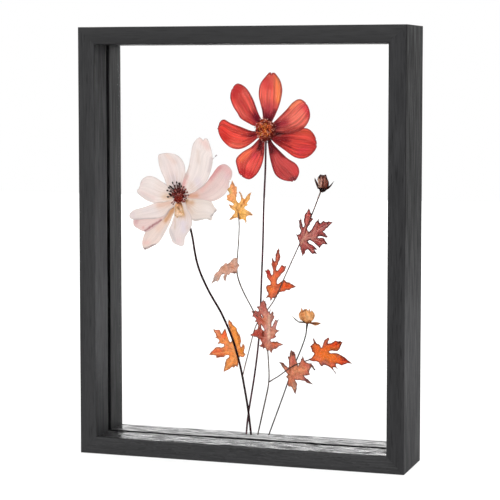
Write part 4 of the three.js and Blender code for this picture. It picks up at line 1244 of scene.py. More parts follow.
        "slot": "brown_leaf", "tone": (202, 116, 90), "rim": (100, 56, 48), "rimWidth": 0.95,
        "rimStrength": 0.8, "vein": (226, 160, 124), "veinStrength": 0.28,
        "veins": [
            (28.6, 56.6, 31, 60), (31, 60, 30.7, 76.4), (31, 60, 38.5, 72.4), (31, 60, 47, 64.6),
            (31, 59, 46.3, 52.7), (30, 57.6, 33.6, 44.8), (29.6, 59.4, 21.9, 67.4), (34, 61.4, 44, 60),
        ],
        "dabs": [
            (34, 61.4, 40, 63, 2.6, (218, 138, 96), 0.85), (31.6, 70, 31.4, 67, 1.8, (192, 90, 80), 0.8),
            (31.8, 73, 1.3, (148, 78, 64), 0.85), (30.8, 75.4, 0.9, (66, 34, 32), 0.92),
            (29.4, 71, 0.8, (136, 80, 62), 0.75), (33.6, 72, 33.4, 74, 0.7, (100, 58, 50), 0.75),
            (26, 64.6, 24.2, 65.6, 1.3, (148, 100, 82), 0.85), (27.4, 62.8, 1.2, (206, 124, 100), 0.6),
            (22.6, 67, 0.9, (96, 76, 66), 0.85), (31, 57, 36, 60, 0.6, (174, 94, 68), 0.65),
            (29.6, 61, 33.4, 66, 0.7, (156, 74, 52), 0.65), (40.6, 66.4, 1.6, (208, 98, 72), 0.85),
            (42.8, 65, 1.4, (198, 106, 98), 0.65), (38.6, 70.6, 39.6, 69, 0.9, (146, 80, 70), 0.8),
            (41.6, 60.8, 1.5, (210, 106, 90), 0.8), (42, 59.2, 0.9, (118, 58, 50), 0.8),
            (43, 62, 0.7, (106, 52, 42), 0.75), (42.4, 55.6, 40.4, 56, 1.4, (140, 78, 86), 0.9),
            (44.6, 53.8, 1.1, (80, 44, 44), 0.92), (36, 57, 2, (204, 128, 108), 0.7),
            (29.6, 58.8, 0.8, (144, 76, 28), 0.88), (28.2, 57, 0.9, (120, 92, 66), 0.85),
            (32.6, 53, 33.6, 48, 1.4, (176, 132, 110), 0.85), (30.6, 54.2, 1.3, (184, 100, 68), 0.75),
            (34.4, 52.4, 0.7, (146, 120, 102), 0.75), (33.7, 46, 1, (136, 108, 92), 0.85),
            (29.6, 51, 1, (156, 108, 80), 0.75), (45.4, 66, 47.6, 63.2, 1.3, (52, 26, 24), 0.95),
            (30.8, 75.8, 31.2, 73.4, 1.5, (60, 32, 32), 0.9), (45.4, 53, 42.4, 55, 1.3, (76, 38, 46), 0.9),
            (22.2, 67.2, 23.8, 65.8, 1.2, (88, 66, 60), 0.85),
            (33.7, 45.4, 33.6, 47, 1, (120, 92, 80), 0.8),
        ],
    },
    "leaf_scarlet": {
        "slot": "scarlet_leaf", "tone": (226, 102, 42), "rim": (106, 38, 30), "rimWidth": 1.05,
        "rimStrength": 0.85, "vein": (240, 142, 82), "veinStrength": 0.24,
        "veins": [
            (43.4, 69.6, 48.6, 71.4), (48.6, 71.4, 47, 85.3), (48.6, 71.4, 57, 85.7), (49, 71.6, 67, 82.8),
            (48.6, 71.4, 74, 68.8), (50, 71, 64.3, 63.8), (49, 71, 53, 66),
        ],
        "dabs": [
            (54, 73, 60, 73, 3, (236, 122, 48), 0.7), (68, 70, 73, 69, 2.6, (196, 46, 30), 0.8),
            (60, 81, 65, 82, 2.4, (208, 62, 34), 0.75), (51, 67.4, 62, 67, 1.7, (188, 96, 80), 0.7),
            (46, 81, 47.4, 77, 1.6, (196, 82, 48), 0.7), (55.6, 84.6, 55, 81, 1.4, (186, 78, 60), 0.7),
            (51, 70.6, 49, 71.4, 1.6, (224, 112, 88), 0.65), (63.4, 71, 1.8, (226, 96, 38), 0.75),
            (69, 70, 71.4, 69.6, 1.5, (148, 32, 24), 0.88), (66, 69.4, 69, 69, 1.2, (222, 68, 44), 0.8),
            (66, 73.4, 70, 71.4, 0.9, (106, 38, 32), 0.85), (64, 73.6, 1.3, (176, 92, 80), 0.75),
            (61.4, 80.6, 63.4, 81, 1.7, (230, 82, 34), 0.85), (62.6, 80.8, 0.8, (184, 20, 8), 0.88),
            (64, 82.6, 66.4, 81.6, 1, (106, 32, 22), 0.9), (59, 77.8, 63.6, 78, 0.9, (146, 70, 34), 0.75),
            (54.4, 82, 53.6, 79.6, 1, (202, 86, 66), 0.8), (56.8, 84.6, 0.8, (138, 78, 82), 0.88),
            (54.4, 83.6, 0.6, (146, 88, 68), 0.75), (47.6, 78.6, 2, (228, 108, 54), 0.7),
            (45, 79, 46, 76, 0.8, (146, 62, 32), 0.8), (47.3, 83, 48.6, 81.4, 0.8, (136, 70, 50), 0.85),
            (47.1, 84.6, 0.6, (106, 76, 66), 0.85), (53, 67.4, 55.6, 68.4, 1.8, (158, 92, 84), 0.9),
            (52.7, 66.2, 0.8, (106, 54, 50), 0.75), (44.6, 70, 47, 70, 0.9, (158, 68, 64), 0.85),
            (43.4, 69.6, 0.6, (140, 70, 62), 0.85), (59.6, 67.4, 61, 66.6, 1.3, (216, 98, 72), 0.8),
            (60.6, 63.6, 62.4, 61, 0.8, (92, 76, 68), 0.92), (63, 65, 64, 64, 0.6, (86, 58, 50), 0.88),
            (57.4, 66, 0.7, (92, 42, 36), 0.85), (60.8, 64, 63.9, 59.9, 1, (96, 82, 78), 0.9),
            (63.6, 64.4, 65.6, 62.7, 0.8, (116, 66, 58), 0.85), (47, 85, 48, 82, 0.9, (116, 66, 62), 0.85),
            (57, 85.4, 56, 81.6, 1.3, (158, 78, 66), 0.8), (67, 82.6, 66, 80, 1.3, (120, 42, 34), 0.85),
            (52, 67.4, 55, 67, 1.3, (172, 94, 84), 0.7),
        ],
    },
    "pale_sepal": {
        "slot": "sepal", "tone": (226, 193, 163), "rim": (208, 168, 124), "rimWidth": 0.8, "even": True,
        "rimStrength": 0.5, "vein": (214, 172, 128), "veinStrength": 0.2,
        "pushes": [
            (-50.6, 172.6, 2.6, 0.3, 3.4), (-54, 171.6, 2, 0.4, 0.6), (-53.6, 164.8, 1, 0, 1.1),
            (-52, 164.6, 0.8, 0, -0.8), (-50.2, 164.6, 1, 0, 1), (-48.6, 164.8, 0.8, 0, -0.7),
            (-47.2, 165.2, 1, -0.3, 1),
        ],
        "veins": [
            (-51, 175, -50.6, 165), (-52, 174, -53.2, 166), (-49.6, 174, -47.2, 166),
        ],
        "dabs": [
            (-50.4, 176, -50.4, 174, 2.2, (196, 118, 76), 0.85),
            (-47.6, 173, -46.8, 167, 0.7, (206, 160, 104), 0.85),
            (-50.9, 171.4, -50.3, 170.6, 0.9, (110, 62, 28), 0.92),
            (-48.8, 174, -48.2, 172.8, 0.7, (124, 74, 38), 0.85),
            (-50, 168.6, -48.4, 168, 0.6, (182, 122, 66), 0.85),
            (-53, 173, -53.6, 169, 0.9, (214, 156, 96), 0.85), (-50.6, 166, 2, (226, 198, 175), 0.75),
            (-53.2, 166, 0.6, (150, 112, 84), 0.8), (-51.4, 165.2, 0.55, (166, 126, 96), 0.75),
            (-48.8, 165.3, 0.55, (172, 130, 96), 0.75),
        ],
    },
}


def leafMaterial(name, spec):
    material, tree, shader = startMaterial(name)
    place = objectPlace(tree)
    split = addNode(tree, "SeparateXYZ", {"Vector": readAttribute(tree, "flow", "Vector")})
    cellInputs = {"Vector": place, "Scale": leafFinish["crackleSize"]}
    cells = addNode(tree, "TexVoronoi", cellInputs, feature="DISTANCE_TO_EDGE")
    mottle = noiseValue(tree, place, leafFinish["mottleSize"], 5, 0.6)
    tint = shadeTone(tree, readPaint(tree), mottle, 0.32, 0.68, *leafFinish["mottle"])
    crackle = mapValue(tree, cells.outputs["Distance"], 0, 0.16, *leafFinish["crackle"])
    tint = mixTones(tree, 1.0, tint, crackle, "MULTIPLY")
    side = combine(tree, "PINGPONG", split.outputs["X"], 0.5)
    sideLine = mapValue(tree, side, 0, leafFinish["sideVein"], leafFinish["sideStrength"], 0)
    mainLine = mapValue(tree, split.outputs["Y"], *leafFinish["veinWidth"], 1, 0)
    line = combine(tree, "MAXIMUM", sideLine, mainLine)
    strength = combine(tree, "MULTIPLY", line, spec["veinStrength"])
    tint = mixTones(tree, strength, tint, screenTone(*spec["vein"]))
    tint = darkRim(tree, tint, place, spec)
    roughness = mapValue(tree, mottle, 0.3, 0.7, *leafFinish["roughness"])
    height = combine(tree, "ADD", line, combine(tree, "MULTIPLY", crackle, 0.8))
    gloss, bump, relief = (leafFinish[key] for key in ("gloss", "bump", "relief"))
    dressShader(tree, shader, tint, roughness, gloss, height, bump, relief)
    return material


def veinPlaces(places, veins):
    # a count of the side veins that leave the nearest main vein at a slant, and the distance to it
    lines = np.array(veins, float)
    gaps, share = segmentGaps(places, lines[:, :2], lines[:, 2:])
    nearest = gaps.argmin(1)
    rows = np.arange(len(places))
    length = np.linalg.norm(lines[:, 2:] - lines[:, :2], axis=1)[nearest]
    gap = gaps[rows, nearest]
    run = share[rows, nearest] * length - leafFinish["sideSlant"] * gap
    return run / leafFinish["sideStep"] + 20, gap  # 20 more keeps the count above 0


def leafHeights(places, rings, veins, seed):
    grooveDepth, grooveHalf = leafRelief["veinGroove"]
    rimLift, rimReach = leafRelief["rimLift"]
    gap = veinPlaces(places, veins)[1]
    inside = np.minimum(rimGaps(places, rings) / rimReach, 1)
    heights = -grooveDepth * np.exp(-((gap / grooveHalf) ** 2))
    heights += waves(places, leafRelief["puckers"], seed + 4) + waves(places, leafRelief["swells"], seed)
    return heights + rimLift * (1 - inside)


def makeLeaf(node, spec, seed):
    soften = smoothRing if spec.get("even") else unevenRing
    rings = [pushRing(soften(ring), spec.get("pushes", [])) for ring in sectionRings(node)]
    leaf = cutSheet(node + "_sheet", rings, middleDepth(node), (1, 0), sheetSpec["leafStep"])
    thicken(leaf, leafHeights(flatPlaces(leaf), rings, spec["veins"], seed))
    places = flatPlaces(leaf)
    storeTones(leaf, paintTones(places, spec["tone"], spec["dabs"], seed))
    storeRim(leaf, rimGaps(places, rings))
    storeFlow(leaf, *veinPlaces(places, spec["veins"]), seed)
    placePiece(leaf, node, leafMaterial(spec["slot"], spec))


random.seed(23)
for leafNumber, (leafNode, leafSpec) in enumerate(leafSpecs.items()):
    makeLeaf(leafNode, leafSpec, 100 + 4.3 * leafNumber)
print("leaves pressed:", len(leafSpecs))


# Stems and twigs: pressed round stalks with dry streaks
stemFinish = {
    "streaks": (2600, 2600, 160),
    "rings": (60, 60, 240),
    "ringShade": (0.7, 1.3),
    "roughness": (0.5, 0.75),
    "gloss": 0.06,
    "bump": 0.5,
    "relief": 0.08,
    "knots": 0.05,
    "knotPitch": (0.9, 2, 0.35),
    "flatten": (1, 0.35, 1),
    "sharpAngle": 75,
    "levels": 2,
}
# ends are stretches that move or swell, each as x, z, radius, the move and the swell
# under is where a stalk passes behind a leaf, from x to x, and how far back
stemSpecs = {
    "red_stem": {"dark": (44, 18, 25), "light": (88, 52, 60), "swell": 0.24},
    "pale_stem": {"dark": (20, 7, 9), "light": (52, 24, 28), "swell": 0.28},
    "bud_dark_twig": {
        "dark": (70, 47, 42), "light": (114, 89, 81), "swell": 0.15,
        "ends": [
            (50.6, 183.4, 3, 1, 2.4, 0.1), (-4, 57.2, 3, -0.5, -1.6, 0), (46, 171, 26, 0, 0, 0.1),
        ],
    },
    "leaf_twig": {
        "dark": (54, 43, 39), "light": (104, 88, 80), "swell": 0.15,
        "ends": [
            (10.6, 94.2, 10, -6.4, 6.4, -0.1), (-8.8, 173, 6, 1.5, -4.2, -0.08),
            (-8.4, 150, 14, 0, 0, -0.03), (-5.6, 121, 14, 0, 0, 0.1), (-3, 82, 28, 0, 0, 0.08),
        ],
    },
    "bud_tan_stem": {
        "dark": (32, 24, 22), "light": (72, 60, 56), "swell": 0.19,
        "ends": [(41.6, 93.2, 3, 0.4, 1.9, 0.5)],
    },
    "forked_stem": {
        "dark": (50, 41, 39), "light": (104, 90, 84), "swell": 0.16,
        "ends": [(13.9, 76.6, 3, 0.1, -1.7, -0.08), (13, 34, 28, 0, 0, 0.09)],
    },
    "forked_stem_branch": {
        "dark": (50, 34, 31), "light": (96, 72, 66), "swell": 0.17,
        "ends": [(46.6, 71, 4, -2.4, -1, -0.06), (15.5, 53.6, 3, -0.5, -0.7, 0.1)],
        "under": (36.4, 42.6, 1.1),
    },
}


def stemMaterial(name, spec):
    material, tree, shader = startMaterial(name)
    place = objectPlace(tree)
    streaks = noiseValue(tree, stretchVector(tree, place, stemFinish["streaks"]), 1, 4, 0.6)
    rings = noiseValue(tree, stretchVector(tree, place, stemFinish["rings"]), 1, 3, 0.55)
    share = mapValue(tree, streaks, 0.34, 0.66, 0, 1)
    tint = mixTones(tree, share, screenTone(*spec["dark"]), screenTone(*spec["light"]))
    tint = shadeTone(tree, tint, rings, 0.3, 0.7, *stemFinish["ringShade"])
    roughness = mapValue(tree, streaks, 0.3, 0.7, *stemFinish["roughness"])
    gloss, bump, relief = (stemFinish[key] for key in ("gloss", "bump", "relief"))
    dressShader(tree, shader, tint, roughness, gloss, streaks, bump, relief)
    return material


def makeStem(node, spec):
    stalk = copyNode(node, node + "_stalk")
    editMode(True)
    bpy.ops.mesh.select_mode(type="EDGE")
    bpy.ops.mesh.select_all(action="DESELECT")
    bpy.ops.mesh.edges_select_sharp(sharpness=math.radians(stemFinish["sharpAngle"]))
    bpy.ops.transform.edge_crease(value=1)
    editMode(False)
    rounded = stalk.modifiers.new("rounded", "SUBSURF")
    rounded.levels = stemFinish["levels"]
    rounded.render_levels = stemFinish["levels"]
    applyModifiers(stalk)
    places = meshPlaces(stalk)
    normals = np.array([vertex.normal for vertex in stalk.data.vertices])
    knots = np.array([noise.noise(Vector(spot)) for spot in places * stemFinish["knotPitch"]])
    wide = spec["swell"] + stemFinish["knots"] * knots
    for x, z, radius, moveX, moveZ, flare in spec.get("ends", []):
        near = np.clip(1 - np.hypot(places[:, 0] - x, places[:, 2] - z) / radius, 0, 1)
        wide += flare * near
        places[:, [0, 2]] += near[:, None] * (moveX, moveZ)
    if "under" in spec:
        left, right, depth = spec["under"]
        places[:, 1] += depth * np.clip(places[:, 0] - left, 0, 1) * np.clip(right - places[:, 0], 0, 1)
    movePlaces(stalk, places + normals * wide[:, None] * stemFinish["flatten"])
    bpy.ops.object.shade_smooth()
    placePiece(stalk, node, stemMaterial(node + "_bark", spec))


for stemNode, stemSpec in stemSpecs.items():
    makeStem(stemNode, stemSpec)
print("stems drawn:", len(stemSpecs))


# Pieces with many small grains: modelled once, copied, coloured and joined
grainFinish = {"dustSize": 2600, "gloss": 0.05, "bump": 0.6, "relief": 0.1, "segments": 7, "rings": 5}


def addGrain(name):
    return addBall(name, grainFinish["segments"], grainFinish["rings"])


def copyGrain(grain, size, turn, place, tone):
    copy = bpy.data.objects.new(grain.name, grain.data.copy())
    bpy.context.scene.collection.objects.link(copy)
    copy.scale = Vector(size) * mm
    copy.rotation_euler = (0, turn, 0)
    copy.location = Vector(place) * mm
    tonePiece(copy, tone)
    return copy


def tonePiece(piece, tone):
    storeTones(piece, np.tile(np.array(tone, float), (len(piece.data.vertices), 1)))


def addDome(name, segments, middle, radii):
    # a flat ball at its size and place
    dome = addBall(name, segments, segments // 2)
    dome.scale = Vector(radii) * mm
    dome.location = Vector(middle) * mm
    applyPlace()
    return dome


def joinPieces(name, pieces):
    bpy.ops.object.select_all(action="DESELECT")
    for piece in pieces:
        piece.select_set(True)
    bpy.context.view_layer.objects.active = pieces[0]
    bpy.ops.object.join()
    whole = bpy.context.object
    whole.name = name
    applyPlace()
    bpy.ops.object.shade_smooth()
    return whole


def grainMaterial(name, roughness, speckle):
    material, tree, shader = startMaterial(name)
    dust = noiseValue(tree, objectPlace(tree), grainFinish["dustSize"], 4, 0.65)
    tint = shadeTone(tree, readPaint(tree), dust, 0.32, 0.68, *speckle)
    rough = mapValue(tree, dust, 0.3, 0.7, *roughness)
    gloss, bump, relief = (grainFinish[key] for key in ("gloss", "bump", "relief"))
    dressShader(tree, shader, tint, rough, gloss, dust, bump, relief)
    return material


# Red flower's disc: a flat dome set with florets in a spiral
discSpec = {
    "middle": (12.3, -0.66, 226),
    "radii": (6.9, 0.42, 7.7),
    "segments": 48,
    "crinkles": (0.06, 0.8),
    "florets": 120,
    "fringe": 34,
    "spread": 0.98,
    "stray": (-0.2, 0.2),
    "floretSize": (0.38, 0.5),
    "floretDepth": (0.22, 0.4),
    "floretLength": (0.8, 1.4),
    "floretTurn": (0, 3.1),
    "front": -1.37,
    # the dome's dark colour between the florets: their own dark gaps and painted shade between them
    "gapToneAndShade": (84, 18, 8),
    "innerReach": 0.68,
    "innerTones": ((252, 156, 70), (246, 122, 58), (232, 98, 54), (250, 160, 124), (112, 30, 14)),
    "outerReach": 0.98,
    "outerTones": ((240, 156, 132), (222, 96, 68), (190, 72, 52), (90, 24, 20)),
    "fringeTones": ((214, 156, 146), (170, 96, 88), (88, 30, 32), (60, 18, 22)),
    # these dabs darken the disc's lower right and right edge: painted shade
    "dabs": [
        (12.5, 218.8, 17, 220.2, 2.6, (50, 18, 18), 0.75), (18.4, 223.6, 18.4, 228, 1.4, (104, 48, 40), 0.5),
    ],
    "roughness": (0.5, 0.8),
    "speckle": (0.7, 1.25),
}


def floretTones(spread):
    if spread < discSpec["innerReach"]:
        return discSpec["innerTones"]
    return discSpec["outerTones"] if spread < discSpec["outerReach"] else discSpec["fringeTones"]


def makeDisc(spec):
    x0, y0, z0 = spec["middle"]
    wideX, deepY, wideZ = spec["radii"]
    dome = addDome("dome", spec["segments"], spec["middle"], spec["radii"])
    places = meshPlaces(dome)
    places[:, 1] += waves(places[:, [0, 2]], spec["crinkles"], 3)
    movePlaces(dome, places)
    # the dome carries the dark gap colour, partly painted shade between the florets
    tonePiece(dome, spec["gapToneAndShade"])
    floret = addGrain("floret")
    pieces = [dome]
    for n in range(spec["florets"] + spec["fringe"]):
        spread = spec["spread"] * math.sqrt((n + 0.5) / spec["florets"])
        turn = n * goldenTurn
        x = x0 + wideX * spread * math.cos(turn) + random.uniform(*spec["stray"])
        z = z0 + wideZ * spread * math.sin(turn) + random.uniform(*spec["stray"])
        y = y0 - deepY * math.sqrt(max(0, 1 - spread * spread))
        wide = random.uniform(*spec["floretSize"])
        deep = min(random.uniform(*spec["floretDepth"]), y - spec["front"])
        tone = paintTones(np.array([(x, z)]), random.choice(floretTones(spread)), spec["dabs"], 0)[0]
        size = (wide, deep, wide * random.uniform(*spec["floretLength"]))
        pieces.append(copyGrain(floret, size, random.uniform(*spec["floretTurn"]), (x, y, z), tone))
    bpy.data.objects.remove(floret)
    disc = joinPieces("red_disc_florets", pieces)
    placePiece(disc, "red_disc", grainMaterial("red_disc", spec["roughness"], spec["speckle"]))


random.seed(31)
makeDisc(discSpec)
print("disc set with florets:", discSpec["florets"])


# Pale flower's stamens: a dark brush of filaments, each with its anther
stamenSpec = {
    "middle": (-50.7, -0.72, 180),
    "core": (3.4, 0.2, 4.6),
    "segments": 40,
    "coreRagged": (0.16, 0.9),
    "coreCrinkles": (0.1, 0.7),
    "coreTone": (112, 40, 36),
    "coreDabs": [(-50.7, 177, 2.4, (122, 26, 17), 0.85)],
    "filamentCuts": (0.35, 0.7),
    "filamentTaper": (1.25, 0.5),
    "filamentBow": 0.5,
    "filamentDepth": 0.12,
    "filamentTone": (96, 35, 31),
    "antherTone": (28, 9, 8),
    "antherSize": 0.66,
    "tuftTone": (144, 52, 41),
    "tuftSize": 0.52,
    "tuftCap": 0.9,
    "tuftShade": (0.75, 1.25),
    "brush": 150,
    "brushReach": (2.6, 4.9),
    "brushOval": 0.22,
    "brushStray": (-0.2, 0.2),
    "brushStart": (0, 1.6),
    "brushWidth": (0.2, 0.32),
    "brushTones": ((60, 14, 16), (104, 32, 29), (150, 70, 62), (190, 126, 116)),
    "lowTone": (132, 40, 26),
    "lowShare": 0.6,
    "lowEdge": -0.5,
    "blobs": 60,
    "blobShift": 0.6,
    "blobReach": 5.2,
    "blobOval": (0.95, 1.05),
    "blobStray": (-0.4, 0.4),
    "blobWidth": (0.36, 0.5),
    "blobLength": (0.5, 0.8),
    "blobDepth": 0.14,
    "blobFront": -1.24,
    "blobTones": ((58, 12, 14), (40, 8, 10), (88, 22, 22), (156, 88, 82), (122, 50, 46)),
    "lowTones": ((104, 20, 14), (130, 36, 24), (74, 12, 11)),
    "inner": 5,
    "innerReach": (3.8, 5.8),
    "innerTurn": (-1.9, 0.9),
    "stamenStart": 1.5,
    "stamenWidth": (0.22, 0.3),
    "capWidth": (0.8, 1),
    "capLength": (1.2, 1.6),
    "capDepth": 0.16,
    "capLift": 0.02,
    "capTurn": (-0.35, 0.35),
    "depths": (-1.26, -0.9),
    "anthers": [
        (-58.8, 183.3), (-57.7, 185.2), (-55.8, 185.6), (-54.9, 188.7), (-52, 189), (-49.5, 188),
        (-48.6, 186.4), (-57.1, 181), (-58.4, 178.9), (-53.4, 186.6), (-51, 186.6), (-56.2, 182.8),
        (-50.2, 188.4), (-56.8, 186.2), (-54.6, 184.6),
    ],
    "tufts": [
        (-46.8, 186), (-45.4, 184.4), (-44.2, 182.4), (-43.6, 180.4), (-45, 178.2), (-46.4, 176),
        (-55.6, 174.8), (-54.6, 173.8), (-46, 182.8), (-45.2, 179.6),
    ],
    "roughness": (0.45, 0.75),
    "speckle": (0.65, 1.3),
}


def addFilament(spec):
    # a bowed taper, one unit long
    wide, narrowing = spec["filamentTaper"]
    bpy.ops.object.select_all(action="DESELECT")
    bpy.ops.mesh.primitive_cylinder_add(vertices=6, radius=1, depth=1, location=(0, 0, 0.5))
    filament = bpy.context.object
    filament.name = "filament"
    applyPlace()
    editMode(True)
    for height in spec["filamentCuts"]:
        cutAcross((0, 0, height), (0, 0, 1))
    editMode(False)
    for vertex in filament.data.vertices:
        taper = wide - narrowing * vertex.co.z
        vertex.co.x *= taper
        vertex.co.y *= taper
        vertex.co.y += spec["filamentBow"] * math.sin(vertex.co.z * math.pi)
    return filament


def makeCore(spec):
    x0, _, z0 = spec["middle"]
    core = addDome("core", spec["segments"], spec["middle"], spec["core"])
    places = meshPlaces(core)
    flat = places[:, [0, 2]]
    places[:, [0, 2]] += (flat - (x0, z0)) * waves(flat, spec["coreRagged"], 8)[:, None]
    places[:, 1] += waves(flat, spec["coreCrinkles"], 5)
    movePlaces(core, places)
    storeTones(core, paintTones(flat, spec["coreTone"], spec["coreDabs"], 2))
    return core


def makeStamens(spec):
    x0, _, z0 = spec["middle"]
    pieces = [makeCore(spec)]
    filament = addFilament(spec)
    anther = addGrain("anther")

    def isLow(lean):
        return math.cos(lean) < spec["lowEdge"]

    def addStroke(start, reach, lean, depth, width, tone):
        root = (x0 + start * math.sin(lean), depth, z0 + start * math.cos(lean))
        size = (width, spec["filamentDepth"], reach - start)
        pieces.append(copyGrain(filament, size, lean, root, tone))

    def addStamen(x, z, tone, capTone, capSize):
        reach = math.hypot(x - x0, z - z0)
        lean = math.atan2(x - x0, z - z0)
        depth = random.uniform(*spec["depths"])
        addStroke(spec["stamenStart"], reach, lean, depth, random.uniform(*spec["stamenWidth"]), tone)
        wide = random.uniform(*spec["capWidth"]) * capSize
        size = (wide, spec["capDepth"], random.uniform(*spec["capLength"]) * capSize)
        turn = lean + random.uniform(*spec["capTurn"])
        pieces.append(copyGrain(anther, size, turn, (x, depth - spec["capLift"], z), capTone))

    for n in range(spec["brush"]):
        lean = n * goldenTurn + random.uniform(*spec["brushStray"])
        reach = random.uniform(*spec["brushReach"]) * (1 + spec["brushOval"] * math.cos(2 * lean))
        tone = random.choice(spec["brushTones"])
        if isLow(lean) and random.random() < spec["lowShare"]:
            tone = spec["lowTone"]
        start = random.uniform(*spec["brushStart"])
        depth = random.uniform(*spec["depths"])
        addStroke(start, reach, lean, depth, random.uniform(*spec["brushWidth"]), tone)
    for n in range(spec["blobs"]):
        lean = n * goldenTurn
        reach = spec["blobReach"] * math.sqrt((n + 0.5) / spec["blobs"])
        ovalX, ovalZ = spec["blobOval"]
        x = x0 + spec["blobShift"] + ovalX * reach * math.sin(lean) + random.uniform(*spec["blobStray"])
        z = z0 + ovalZ * reach * math.cos(lean) + random.uniform(*spec["blobStray"])
        size = (random.uniform(*spec["blobWidth"]), spec["blobDepth"], random.uniform(*spec["blobLength"]))
        tone = random.choice(spec["lowTones"] if isLow(lean) else spec["blobTones"])
        pieces.append(copyGrain(anther, size, lean, (x, spec["blobFront"], z), tone))
    spots = list(spec["anthers"])
    for _ in range(spec["inner"]):
        reach = random.uniform(*spec["innerReach"])
        turn = random.uniform(*spec["innerTurn"])
        spots.append((x0 + reach * math.sin(turn), z0 + reach * math.cos(turn)))
    for x, z in spots:
        addStamen(x, z, spec["filamentTone"], spec["antherTone"], spec["antherSize"])
    for x, z in spec["tufts"]:
        tone = np.array(spec["tuftTone"]) * random.uniform(*spec["tuftShade"])
        addStamen(x, z, tone, tone * spec["tuftCap"], spec["tuftSize"])
    bpy.data.objects.remove(filament)
    bpy.data.objects.remove(anther)
    brush = joinPieces("pale_stamens_brush", pieces)
    placePiece(brush, "pale_stamens", grainMaterial("stamens", spec["roughness"], spec["speckle"]))


random.seed(47)
makeStamens(stamenSpec)
print("stamens set:", len(stamenSpec["anthers"]) + stamenSpec["inner"])


